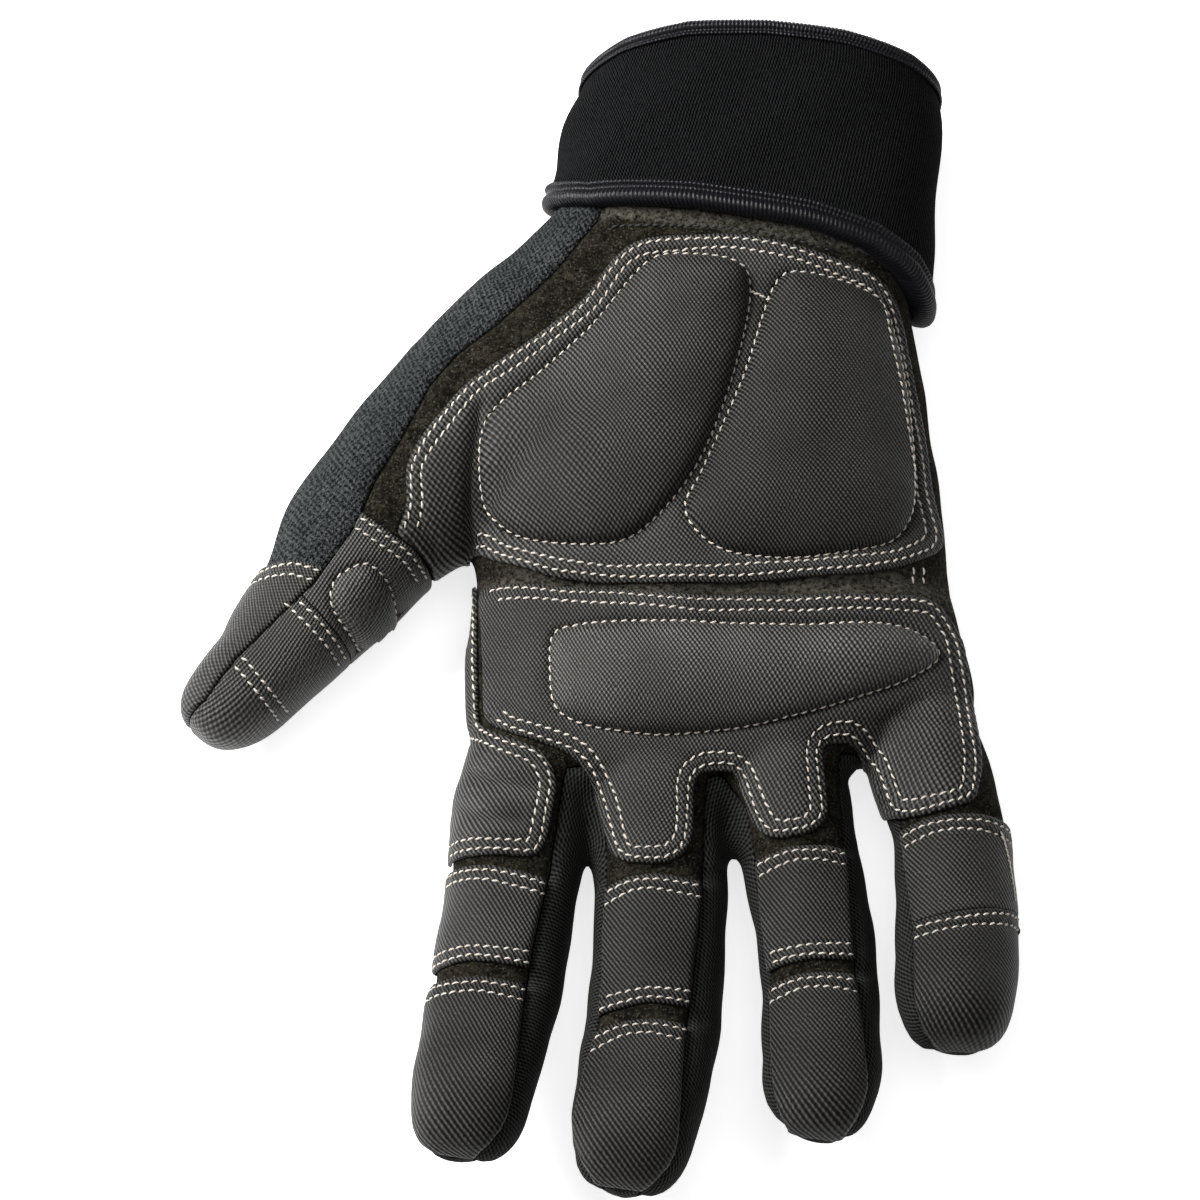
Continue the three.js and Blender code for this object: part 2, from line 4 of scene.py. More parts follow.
import bpy
import numpy as np
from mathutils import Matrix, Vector
from mathutils.bvhtree import BVHTree


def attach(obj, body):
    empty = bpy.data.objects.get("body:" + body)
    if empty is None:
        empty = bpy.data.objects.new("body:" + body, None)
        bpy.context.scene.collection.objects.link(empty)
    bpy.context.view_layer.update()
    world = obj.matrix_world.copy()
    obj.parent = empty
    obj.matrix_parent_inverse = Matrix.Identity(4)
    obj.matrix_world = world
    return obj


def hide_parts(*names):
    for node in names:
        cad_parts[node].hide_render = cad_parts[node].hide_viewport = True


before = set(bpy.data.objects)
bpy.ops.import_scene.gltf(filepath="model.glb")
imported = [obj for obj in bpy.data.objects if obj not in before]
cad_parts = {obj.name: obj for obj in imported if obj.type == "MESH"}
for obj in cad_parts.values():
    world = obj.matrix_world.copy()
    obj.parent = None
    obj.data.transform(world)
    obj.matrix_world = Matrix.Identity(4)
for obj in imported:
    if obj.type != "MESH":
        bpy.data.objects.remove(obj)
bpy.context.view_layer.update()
MM = 0.001   # the tables are in millimetres, as a glove's pattern is

# Hand form: the shape that the whole glove keeps as it lies on its back with slightly curled
# fingers. It is no piece of the glove: every panel and overlay below is cut from its surface,
# as cloth is cut and sewn over a glove maker's hand form, and it is removed at the end.
HAND_POWER = 2.5       # squareness of the hand's sections
FINGER_POWER = 2.25    # squareness of a digit's sections
FINGER_FULLNESS = 0.962
TIP_FULLNESS = 0.6
FORM_PITCH = 1.2       # size of the form's faces
HAND_SECTIONS = [      # place along the hand, then its edges seen from the front
    dict(y=120, left=-16, right=46, bottom=8, top=40),
    dict(y=104, left=-20.8, right=48.5, bottom=7.5, top=40.5),
    dict(y=94, left=-25.2, right=50, bottom=7, top=40.5),
    dict(y=78, left=-28.8, right=48.6, bottom=5.6, top=39.2),
    dict(y=73, left=-33.6, right=48.2, bottom=4.8, top=38.8),
    dict(y=67, left=-39.4, right=47.7, bottom=4, top=38.4),
    dict(y=60, left=-42, right=47, bottom=2.4, top=38),
    dict(y=50, left=-41, right=46.8, bottom=0.4, top=37.2),
    dict(y=36, left=-43.5, right=49.2, bottom=-2, top=36.5),
    dict(y=14, left=-48, right=52.2, bottom=-2.5, top=36),
    dict(y=-14, left=-48.3, right=55.2, bottom=-2.5, top=34),
    dict(y=-38, left=-49, right=59, bottom=-0.5, top=30.8),
    dict(y=-45, left=-47.4, right=50, bottom=1.5, top=28.8),
    dict(y=-49, left=-46.6, right=37, bottom=2.8, top=27.6),
    dict(y=-53, left=-45.6, right=31, bottom=4, top=26.2),
    dict(y=-60, left=-42, right=26, bottom=9, top=21),
]
DIGIT_SECTIONS = {     # centre, half width across, half thickness
    "thumb": [(-9, 61, 18, 22.5, 14), (-32, 40, 18.5, 26.8, 17), (-53.6, 20.6, 18.5, 22.4, 16.3),
              (-71.2, 2.6, 18, 18.7, 15), (-82.2, -13.6, 17.4, 14.4, 13.4), (-93.6, -29.2, 16.5, 10.6, 11)],
    "index": [(-33.5, -36, 15, 11.5, 10), (-37, -58, 15, 14.4, 13), (-39.8, -80, 15.7, 14, 12.3),
              (-42.8, -101, 18.5, 13.6, 11.7), (-46.6, -120, 23, 13, 10.8)],
    "middle": [(-9.5, -36, 15, 12, 10), (-9, -58, 15, 14.6, 13), (-8.6, -82, 15.8, 14.6, 12.5),
               (-9.8, -105, 18.8, 14.4, 11.9), (-13.5, -126.5, 24, 14.3, 11)],
    "ring": [(15, -36, 15, 11.5, 10), (18.4, -56, 15, 13.7, 12.6), (22.4, -77, 15.8, 13.1, 11.9),
             (24.6, -98, 18.2, 13, 11.3), (24.8, -117, 22, 12.9, 10.6)],
    "little": [(42.5, -28, 15, 11, 9.5), (48.4, -48, 15, 12.8, 12.4), (52.2, -66, 15.6, 12.7, 11.8),
               (53.4, -84, 17.8, 13, 11.2), (52.6, -99, 21.3, 12.8, 10.4)],
}
DIGIT_TIPS = {
    "thumb": (-107, -42, 15.5), "index": (-50.4, -138.2, 28.6), "middle": (-17.4, -145.9, 30.2),
    "ring": (23.2, -134, 27.2), "little": (51.6, -115, 25.6),
}
WAVES = [              # two crossed ripples, each a direction and a shift, and their height
    ((0.11, 0.07, 0.13), 0, (-0.06, 0.12, 0.1), 1, 0.45),
    ((0.23, -0.17, 0.2), 2, (0.15, 0.21, -0.1), 0, 0.25),
]
PALM_CORNER = (-62, -24, 14)     # the palm, smoother than the rest, is all past this corner
CREASES = [            # line seen from above, how far it spreads, how deep it is
    ([(-47, -11.5), (-20, -16.2), (0, -16.8), (30, -14.5), (52, -12.5)], 1.7, 1.1),
    ([(-60, -73.4), (-32, -76.6)], 1.6, 0.8), ([(-60, -99.6), (-34, -100.6)], 1.6, 0.9),
    ([(-24, -77.5), (3, -77)], 1.6, 0.8), ([(-25, -110.8), (0, -109.2)], 1.6, 0.9),
    ([(8, -72.4), (33, -70.2)], 1.6, 0.8), ([(11, -100.4), (35, -98.4)], 1.6, 0.9),
    ([(39, -66.6), (62, -63.5)], 1.6, 0.7),
    ([(-47, 24), (-48.6, 12), (-49, -3)], 1.9, 1.9),
    ([(-54, -26), (-49, -38), (-43, -44)], 2.2, 0.6), ([(-52, -52), (-44, -57), (-35, -59)], 1.8, 0.9),
    ([(-53, -60), (-46, -65), (-38, -66)], 1.6, 0.8), ([(-70, 6), (-62, 2), (-57, -4)], 1.8, 0.5),
    ([(-46, -36.8), (-39, -40.4)], 1.5, 0.55), ([(-45.6, -31), (-38, -33.4)], 1.3, 0.3),
    ([(38.7, -44), (46.1, -39.2)], 1.4, 0.5), ([(44, -43.6), (53, -45.4)], 1.5, 0.5),
    ([(-46, -10), (-32, -13.8), (-18, -15)], 1.0, 0.5), ([(4, -15.4), (20, -16.4), (36, -14.2)], 1.0, 0.5),
    ([(-20, 65.6), (0, 65.4), (14, 63.6), (30, 60.4)], 1.1, 0.8),
]


def pick(piece):
    """Makes a piece the one that the next steps work on."""
    bpy.ops.object.select_all(action="DESELECT")
    piece.select_set(True)
    bpy.context.view_layer.objects.active = piece


@contextmanager
def editing():
    """Opens the picked piece's mesh, all of it selected, and closes it again."""
    bpy.ops.object.mode_set(mode="EDIT")
    bpy.ops.mesh.select_all(action="SELECT")
    yield
    bpy.ops.object.mode_set(mode="OBJECT")


def run_of(line):
    """How far along a line each of its points is."""
    return np.concatenate([[0], np.cumsum(np.linalg.norm(np.diff(line, axis=0), axis=1))])


def points_at(where, run, line):
    """The points of a line at some distances along it."""
    return np.stack([np.interp(where, run, column) for column in line.T], -1)


def spline(points, steps):
    """A smooth line through rows of numbers, with the same count of steps between each two."""
    rows = np.array(points, float)
    padded = np.vstack([2 * rows[0] - rows[1], rows, 2 * rows[-1] - rows[-2]])
    t = (np.arange(steps) / steps)[:, None]
    line = []
    for before, start, end, after in zip(padded, padded[1:], padded[2:], padded[3:]):
        out, back = (end - before) / 2, (after - start) / 2
        line.append(start + t * out + t**2 * (3 * (end - start) - 2 * out - back)
                    + t**3 * (2 * (start - end) + out + back))
    return np.vstack([*line, rows[-1:]])


def section(sides, squareness):
    """The corners of a rounded section one unit wide each way, as across and up."""
    turn = 2 * math.pi * np.arange(sides) / sides
    across, up = np.cos(turn), np.sin(turn)
    share = 2 / squareness
    return np.stack([np.sign(across) * abs(across) ** share, np.sign(up) * abs(up) ** share], 1)


def roll_cloth(name, rings, closed_ends=True, closed_along=False):
    """A tube rolled from a flat grid: each ring of points is one row of the grid."""
    if closed_along:
        rings = np.concatenate([rings, rings[:1]])
    rows, sides = rings.shape[:2]
    bpy.ops.object.select_all(action="DESELECT")
    bpy.ops.mesh.primitive_grid_add(x_subdivisions=sides, y_subdivisions=rows - 1)
    tube = bpy.context.object
    tube.name = tube.data.name = name
    grid = np.concatenate([rings, rings[:, :1]], 1) * MM
    tube.data.vertices.foreach_set("co", grid.ravel())
    with editing():
        bpy.ops.mesh.remove_doubles(threshold=0.001 * MM)
        if closed_ends:
            bpy.ops.mesh.fill_holes(sides=0)
        bpy.ops.mesh.normals_make_consistent(inside=False)
    return tube


def hand_rings(rows, sides, grow=0.0):
    """Rings of points round the hand for rows of y, left, right, bottom and top."""
    across, up = section(sides, HAND_POWER).T
    y, left, right, bottom, top = (column[:, None] for column in np.array(rows, float).T)
    x = (left + right) / 2 + across * ((right - left) / 2 + grow)
    z = (bottom + top) / 2 + up * ((top - bottom) / 2 + grow)
    return np.stack([x, np.broadcast_to(y, x.shape), z], 2)


def digit_rings(name, sides):
    """Rings round a digit square to its own line, then round its tip."""
    rows = spline(DIGIT_SECTIONS[name], 6)
    last, reach = rows[-1], np.array(DIGIT_TIPS[name]) - rows[-1, :3]
    turns = np.linspace(0, math.pi / 2, 9)[1:-1]
    tips = [[*(last[:3] + reach * math.sin(turn)), *(last[3:] * math.cos(turn) ** TIP_FULLNESS)]
            for turn in turns]
    rows = np.vstack([rows, tips])
    axis = np.gradient(rows[:, :3], axis=0)
    axis /= np.linalg.norm(axis, axis=1)[:, None]
    sideways = np.cross(axis, (0, 0, 1.0))
    sideways /= np.linalg.norm(sideways, axis=1)[:, None]
    upwards = np.cross(sideways, axis)
    across, up = section(sides, FINGER_POWER).T
    wide = across[None, :, None] * rows[:, 3, None, None] * FINGER_FULLNESS
    thick = up[None, :, None] * rows[:, 4, None, None]
    return rows[:, None, :3] + wide * sideways[:, None] + thick * upwards[:, None]


def corners_of(mesh):
    """All the points of a mesh, in millimetres."""
    points = np.zeros(len(mesh.vertices) * 3)
    mesh.vertices.foreach_get("co", points)
    return points.reshape(-1, 3) / MM


def normals_of(mesh):
    normals = np.zeros(len(mesh.vertices) * 3, np.float32)
    mesh.vertex_normals.foreach_get("vector", normals)
    return normals.reshape(-1, 3).astype(float)


def faces_of(mesh):
    return [list(face.vertices) for face in mesh.polygons]


def flat_places(mesh):
    """The flat place of each point of a sheet that has one, in metres."""
    flat = np.zeros(len(mesh.loops) * 2)
    mesh.uv_layers["cloth"].data.foreach_get("uv", flat)
    corners = np.zeros(len(mesh.loops), int)
    mesh.loops.foreach_get("vertex_index", corners)
    uv = np.zeros((len(mesh.vertices), 2))
    uv[corners] = flat.reshape(-1, 2)
    return uv


def put_corners(mesh, points):
    mesh.vertices.foreach_set("co", (points * MM).ravel())
    mesh.update()


def distance_to(points, line, closed=False):
    """How far points are from a line seen from above, which way from it, and where along it."""
    start = np.array(line, float)
    end = np.roll(start, -1, 0) if closed else start[1:]
    start = start if closed else start[:-1]
    along = end - start
    apart, away, place = [], [], []
    for some in np.array_split(points[:, :2], max(1, len(points) // 4000)):
        gap = some[:, None] - start
        share = np.clip((gap * along).sum(2) / (along * along).sum(1), 0, 1)
        gap -= share[..., None] * along
        length = np.linalg.norm(gap, axis=2)
        nearest = length.argmin(1)
        row = np.arange(len(some))
        apart.append(length[row, nearest])
        away.append(gap[row, nearest] / np.maximum(apart[-1], 1e-6)[:, None])
        place.append(nearest + share[row, nearest])
    return np.concatenate(apart), np.concatenate(away), np.concatenate(place)


def groove(apart, deep, wide):
    """The depth of a soft groove at some distance from its middle."""
    return deep * np.exp(-((apart / wide) ** 2))


def shape(piece, modifier, **settings):
    """Adds a modifier and applies it."""
    pick(piece)
    added = piece.modifiers.new(modifier.title(), modifier)
    for setting, value in settings.items():
        setattr(added, setting, value)
    bpy.ops.object.modifier_apply(modifier=added.name)


hand_rows = spline([list(row.values()) for row in HAND_SECTIONS], 4)
tubes = [roll_cloth("hand_form", hand_rings(hand_rows, 80))]
tubes += [roll_cloth(f"{name}_form", digit_rings(name, 48)) for name in DIGIT_SECTIONS]
bpy.ops.object.select_all(action="DESELECT")
for tube in tubes:
    tube.select_set(True)
bpy.context.view_layer.objects.active = tubes[0]
bpy.ops.object.join()
form = bpy.context.object
shape(form, "REMESH", mode="VOXEL", voxel_size=FORM_PITCH * MM)
points = corners_of(form.data)
points[:, 2] = np.maximum(points[:, 2], 0)
put_corners(form.data, points)
shape(form, "SMOOTH", factor=0.5, iterations=8)
points = corners_of(form.data)
palm = form.vertex_groups.new(name="palm")
palm.add(np.flatnonzero((points > PALM_CORNER).all(1)).tolist(), 1, "REPLACE")
shape(form, "SMOOTH", factor=0.5, iterations=60, vertex_group="palm")
points, normals = corners_of(form.data), normals_of(form.data)
palm_facing = np.clip(normals[:, 2] * 1.6, 0, 1)
sunk = sum(groove(distance_to(points, line)[0], deep, spread) for line, spread, deep in CREASES)
waves = sum(np.sin(points @ first + shift) * np.sin(points @ second + other_shift) * high
            for first, shift, second, other_shift, high in WAVES)
above_rest = np.clip(points[:, 2] / 6, 0, 1)
put_corners(form.data, points + normals * ((waves - sunk * palm_facing) * above_rest)[:, None])
form_points, form_normals = corners_of(form.data), normals_of(form.data)
form_faces = faces_of(form.data)
bpy.data.objects.remove(form)

# Shell: the glove itself, sewn edge to edge from a suede palm, a ribbed knit back, a terry
# thumb and three knit side walls between the fingers. The seams lie in grooves, and the wrist
# end runs on under the cuff.
SHELL_THICK = 1.3
SEAM_GAP = 0.12
CUFF_TUCK = 6.5
RIM_RISE = 8           # how much higher the rim is at the back, on the thumb's side
SEAM_GROOVES = ((0.75, 0.9), (0.25, 3))    # depth and width of the grooves along the seams
OUTLINE_STEP = 0.8
CREASE_LINE = 0.0143   # how far below the frame's middle the palm's crease is, in metres
HEM_LINE = 0.0671      # how far above it the wrist hem is
HEM_FALL = 0.13        # how fast the hem falls towards the little finger's side
SIDE_SEAM = [(-160, 31.4), (-150, 31), (-145, 29.6), (-139, 27.4), (-135, 26.2), (-125, 24.8), (-115, 23.8),
             (-108, 20.6), (-95, 17.5), (-78, 15), (130, 17)]
RIM_LOW = [(-60, 74.6), (-27, 74.2), (-20, 71.8), (0, 69.5), (22, 65.5), (35, 61.5), (43, 57),
           (48, 51), (56, 40)]
THUMB_SEAM = [(-18, 84), (-22, 68), (-30, 58.5), (-43, 45), (-52, 38), (-58, 30.5), (-64, 17.5),
              (-69.5, 8), (-74, -3.5), (-82, -14.5), (-98, -30), (-104.5, -38), (-114, -44),
              (-130, -50), (-130, 90)]
SIDE_WALLS = {         # each from one fingertip over the crotch to the other, seen from above
    "fourchette_index_middle": [
        (-51, -150), (-51, -140.4), (-47, -139.2), (-43.7, -136.9), (-41.4, -134.2), (-39.9, -131),
        (-38.9, -126.6), (-37.7, -117.2), (-36.6, -106), (-34.8, -93), (-31.3, -76), (-29, -60), (-28, -53.5),
        (-23, -53.5), (-20.8, -62), (-20.6, -82), (-21.2, -100), (-22.6, -112), (-24.6, -120), (-26, -127),
        (-26.9, -132), (-26.4, -136.8), (-25, -140.9), (-22.8, -144.2), (-19.8, -146.5), (-16.4, -147.8),
        (-16.4, -155)],
    "fourchette_middle_ring": [
        (-16.4, -155), (-16.4, -147.8), (-12.8, -146.8), (-9.7, -144.8), (-7.3, -142.2), (-5.8, -139.4),
        (-5, -136), (-4.7, -132.4), (-4.2, -126), (-3.4, -116), (-0.9, -94), (0.6, -80), (1.6, -62),
        (1.8, -55.5), (5, -55.5), (8.8, -62), (11.5, -78), (12.4, -88), (13.3, -98), (13.8, -107), (13.8, -119),
        (14.1, -124), (14.8, -127.4), (15.8, -130.2), (17.3, -132.7), (20, -135), (23.6, -136.4),
        (23.6, -145)],
    "fourchette_ring_little": [
        (23.6, -145), (23.6, -136.4), (26.8, -135.6), (29.3, -134), (31.4, -131.4), (32.9, -128.4),
        (33.8, -125.2), (34, -122), (33.5, -114), (32.7, -104), (31.9, -94), (30.9, -75.5), (30, -50),
        (36, -50), (40.4, -58), (42.6, -75), (43.5, -88), (43.5, -98), (43.3, -104), (43.6, -107),
        (44.4, -109.9), (45.4, -112.4), (47.4, -114.2), (49.8, -115.6), (52.8, -116.6), (54, -124)],
}


def rim_low(x, up):
    """The lower rim of the cuff at a place across, from the palm side (1) to the back (-1)."""
    behind = np.clip((0.5 - up) / 1.5, 0, 1) * np.clip((-12 - x) / 14, 0, 1)
    return np.interp(x, *np.array(RIM_LOW).T) + RIM_RISE * behind


def inside_by(points, outline, normals=None):
    """How far inside an outline seen from above each point is, and below nought outside it.

    With the normals it is the way along the cloth, which is longer where the cloth is steep.
    """
    apart, away, place = distance_to(points, outline, closed=True)
    x, y = points[:, :1], points[:, 1:2]
    start = np.array(outline, float)
    end = np.roll(start, -1, 0)
    spans = (start[:, 1] > y) != (end[:, 1] > y)
    rise = np.where(end[:, 1] == start[:, 1], 1, end[:, 1] - start[:, 1])
    left_of = x < start[:, 0] + (y - start[:, 1]) / rise * (end[:, 0] - start[:, 0])
    margin = np.where((spans & left_of).sum(1) % 2, apart, -apart)
    if normals is None:
        return margin
    return margin / np.sqrt(np.clip(1 - (away * normals[:, :2]).sum(1) ** 2, 0.25, 1))


def rounded(outline, corner):
    """A closed outline in even steps with its corners eased, and where it is at each step."""
    corners = np.array([*outline, outline[0]], float)
    run = run_of(corners)
    steps = np.linspace(0, run[-1], int(run[-1] / OUTLINE_STEP), endpoint=False)
    line = points_at(steps, run, corners)
    reach = int(3 * corner / OUTLINE_STEP)
    weights = np.exp(-((np.arange(-reach, reach + 1) * OUTLINE_STEP / corner) ** 2) / 2)
    eased = sum(np.roll(line, reach - shift, 0) * weight for shift, weight in enumerate(weights))
    return eased / weights.sum(), np.interp(steps, run, np.arange(len(corners)))


def trim(sheet, faces, margin):
    """The part of a sheet where the margin is above nought, cut clean along the edge."""
    inside = (margin > 0).tolist()
    kept, new_points, crossings = [], [], {}
    for face in faces:
        count = sum(inside[corner] for corner in face)
        if count == len(face):
            kept.append(face)
        elif count:
            corners = []
            for a, b in zip(face, face[1:] + face[:1]):
                if inside[a]:
                    corners.append(a)
                if inside[a] != inside[b]:
                    edge = (min(a, b), max(a, b))
                    if edge not in crossings:
                        crossings[edge] = len(sheet) + len(new_points)
                        share = margin[a] / (margin[a] - margin[b])
                        new_points.append(sheet[a] + share * (sheet[b] - sheet[a]))
                    corners.append(crossings[edge])
            if len(corners) > 2:
                kept.append(corners)
    if new_points:
        sheet = np.vstack([sheet, new_points])
    used = np.unique(np.concatenate([np.array(face) for face in kept]))
    renumber = np.zeros(len(sheet), int)
    renumber[used] = np.arange(len(used))
    return sheet[used], [renumber[face].tolist() for face in kept]


def new_cloth(name, points, faces):
    """A mesh object from a sheet's points, in millimetres, and faces."""
    mesh = bpy.data.meshes.new(name)
    mesh.from_pydata((points[:, :3] * MM).tolist(), [], faces)
    mesh.update()
    cloth = bpy.data.objects.new(name, mesh)
    bpy.context.scene.collection.objects.link(cloth)
    return cloth


def lay_flat(cloth, method="CONFORMAL"):
    """Lays a sheet out flat at its real size, in metres, square to the length of the hand."""
    pick(cloth)
    cloth.data.uv_layers.new(name="cloth")
    with editing():
        bpy.ops.uv.unwrap(method=method, margin=0)
        bpy.ops.uv.select_all(action="SELECT")
        bpy.ops.uv.average_islands_scale()
    mesh = cloth.data
    uv = flat_places(mesh)
    points = corners_of(mesh) * MM
    edges = np.zeros(len(mesh.edges) * 2, int)
    mesh.edges.foreach_get("vertices", edges)
    edges = edges.reshape(-1, 2)
    real = np.linalg.norm(np.diff(points[edges], axis=1)[:, 0], axis=1)
    drawn = np.linalg.norm(np.diff(uv[edges], axis=1)[:, 0], axis=1)
    uv = (uv - uv.mean(0)) * np.median(real / np.maximum(drawn, 1e-9))
    seen = points[:, :2] - points[:, :2].mean(0)
    turn = math.atan2((uv[:, 0] * seen[:, 1] - uv[:, 1] * seen[:, 0]).sum(), (uv * seen).sum())
    across, along = math.cos(turn), math.sin(turn)
    return uv @ np.array([[across, along], [-along, across]])


def keep_flat(cloth, uv):
    """Stores one flat place for each point of a sheet as its UV map."""
    mesh = cloth.data
    corners = np.zeros(len(mesh.loops), int)
    mesh.loops.foreach_get("vertex_index", corners)
    layer = mesh.uv_layers.get("cloth") or mesh.uv_layers.new(name="cloth")
    layer.data.foreach_set("uv", uv[corners].ravel())


def smooth_faces(piece):
    pick(piece)
    bpy.ops.object.shade_smooth()


def new_group(name, numbers, result):
    """A node group that turns a place and some numbers into one, with its first node and its last."""
    group = bpy.data.node_groups.new(name, "ShaderNodeTree")
    group.interface.new_socket("Place", in_out="INPUT", socket_type="NodeSocketVector")
    for number in numbers:
        group.interface.new_socket(number, in_out="INPUT", socket_type="NodeSocketFloat")
    group.interface.new_socket(result, in_out="OUTPUT", socket_type="NodeSocketFloat")
    return group, group.nodes.new("NodeGroupInput"), group.nodes.new("NodeGroupOutput")


def node(tree, kind, inputs=(), **settings):
    """A node with its settings, and its inputs given as values or linked from other nodes."""
    made = tree.nodes.new(kind)
    for setting, value in settings.items():
        setattr(made, setting, value)
    for socket, value in dict(inputs).items():
        if isinstance(value, bpy.types.NodeSocket):
            tree.links.new(value, made.inputs[socket])
        else:
            made.inputs[socket].default_value = value
    return made


def maths(tree, operation, *values):
    return node(tree, "ShaderNodeMath", enumerate(values), operation=operation).outputs[0]


def blend(tree, share, first, second, kind="MIX"):
    mix = node(tree, "ShaderNodeMix", {0: share, 6: first, 7: second}, data_type="RGBA", blend_type=kind)
    return mix.outputs[2]


def noise(tree, place, scale, detail=2.0, rough=0.5):
    return node(tree, "ShaderNodeTexNoise", {"Vector": place, "Scale": scale, "Detail": detail,
                                             "Roughness": rough}).outputs["Fac"]


def ranged(tree, value, low, high, to_low=0.0, to_high=1.0):
    return node(tree, "ShaderNodeMapRange", {"Value": value, "From Min": low, "From Max": high,
                                             "To Min": to_low, "To Max": to_high}).outputs[0]


crossed, start, end = new_group(
    "crossed lines", ("Turn", "Lines", "Second turn", "Second lines", "Second share", "Wander"), "Height")
wander = node(crossed, "ShaderNodeTexNoise", {"Vector": start.outputs["Place"], "Scale": 190.0, "Detail": 2.0})
shift = node(crossed, "ShaderNodeVectorMath", {0: wander.outputs["Color"], 1: (0.5, 0.5, 0.5)},
             operation="SUBTRACT")
shift = node(crossed, "ShaderNodeVectorMath", {0: shift.outputs[0], "Scale": start.outputs["Wander"]},
             operation="SCALE")
place = node(crossed, "ShaderNodeVectorMath", {0: start.outputs["Place"], 1: shift.outputs[0]}, operation="ADD")
crests = []
for turn, lines in (("Turn", "Lines"), ("Second turn", "Second lines")):
    turned = node(crossed, "ShaderNodeVectorRotate", {"Vector": place.outputs[0], "Angle": start.outputs[turn]},
                  rotation_type="Z_AXIS")
    across = node(crossed, "ShaderNodeSeparateXYZ", {0: turned.outputs[0]}).outputs[1]
    count = maths(crossed, "DIVIDE", across, start.outputs[lines])
    crests.append(maths(crossed, "COSINE", maths(crossed, "MULTIPLY", count, 2 * math.pi)))
both = maths(crossed, "MULTIPLY_ADD", crests[1], start.outputs["Second share"], crests[0])
full = maths(crossed, "ADD", 1.0, start.outputs["Second share"])
height = maths(crossed, "MULTIPLY_ADD", maths(crossed, "DIVIDE", both, full), 0.5, 0.5)
crossed.links.new(height, end.inputs["Height"])

worn, start, end = new_group("handled cloth", ("Scale",), "Light")
broad = noise(worn, start.outputs["Place"], start.outputs["Scale"], 3.0)
worn.links.new(ranged(worn, broad, 0.3, 0.7, 0.78, 1.22), end.inputs["Light"])


def new_material(name, finish):
    material = bpy.data.materials.new(name)
    material.use_nodes = True
    tree = material.node_tree
    shader = tree.nodes["Principled BSDF"]
    for socket, value in finish.items():
        shader.inputs[socket].default_value = value
    flat = node(tree, "ShaderNodeUVMap", uv_map="cloth").outputs[0]
    solid = node(tree, "ShaderNodeTexCoord").outputs["Object"]
    return material, tree, shader, flat, solid


def finish_with(tree, shader, colour, height, depth, strength=1.0):
    bump = node(tree, "ShaderNodeBump", {"Height": height, "Distance": depth, "Strength": strength})
    tree.links.new(bump.outputs[0], shader.inputs["Normal"])
    tree.links.new(colour, shader.inputs["Base Color"])


def crossed_lines(tree, place, turn, lines, second_turn, second_lines, share, wander):
    """The height of two crossing sets of threads, with turns in degrees and spacings in mm."""
    cloth = node(tree, "ShaderNodeGroup", node_tree=crossed)
    tree.links.new(place, cloth.inputs["Place"])
    for socket, value in (("Turn", math.radians(turn)), ("Lines", lines * MM), ("Second share", share),
                          ("Second turn", math.radians(second_turn)), ("Second lines", second_lines * MM),
                          ("Wander", wander * MM)):
        cloth.inputs[socket].default_value = value
    return cloth.outputs["Height"]


def handled(tree, place, scale, colour):
    """Light and dark patches over a colour, as handling leaves them."""
    patches = node(tree, "ShaderNodeGroup", node_tree=worn)
    tree.links.new(place, patches.inputs["Place"])
    patches.inputs["Scale"].default_value = scale
    return blend(tree, 1.0, colour, patches.outputs["Light"], "MULTIPLY")


def put_on(piece, slot, finish, *nodes):
    """Gives a piece its finish, and its place in the shared frame."""
    piece.data.materials.append(finish)
    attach(piece, "root")
    if nodes:
        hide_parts(*nodes)


suede, tree, shader, flat, solid = new_material(
    "suede", {"Roughness": 1.0, "Specular IOR Level": 0.03, "Sheen Weight": 0.03, "Sheen Roughness": 0.6,
              "Sheen Tint": (0.35, 0.28, 0.2, 1)})
nap = noise(tree, solid, 1000.0, 5.0, 0.75)
fleck = noise(tree, solid, 2100.0, 2.0, 0.5)
patch = noise(tree, solid, 230.0, 4.0, 0.7)
across, along, up = node(tree, "ShaderNodeSeparateXYZ", {0: solid}).outputs
crease = maths(tree, "ABSOLUTE", maths(tree, "ADD", along, CREASE_LINE))
hem = maths(tree, "MULTIPLY_ADD", across, HEM_FALL, along)
hem = maths(tree, "ABSOLUTE", maths(tree, "SUBTRACT", hem, HEM_LINE))
# The nap is paler in a band along the palm's crease and along the wrist hem.
pale_bands = maths(tree, "MAXIMUM", ranged(tree, crease, 0.0018, 0.0048, 0.8, 0.0),
               ranged(tree, hem, 0.0012, 0.0024, 1.0, 0.0))
colour = blend(tree, ranged(tree, patch, 0.36, 0.64), (0.0055, 0.0047, 0.0032, 1), (0.03, 0.0265, 0.0185, 1))
colour = blend(tree, maths(tree, "MULTIPLY", pale_bands, patch), colour, (0.15, 0.138, 0.115, 1))
colour = blend(tree, ranged(tree, nap, 0.38, 0.62), (0.0012, 0.001, 0.0007, 1), colour)
colour = blend(tree, ranged(tree, fleck, 0.57, 0.7, 0.0, 0.6), colour, (0.075, 0.07, 0.058, 1))
finish_with(tree, shader, colour, nap, 0.0009, 0.9)

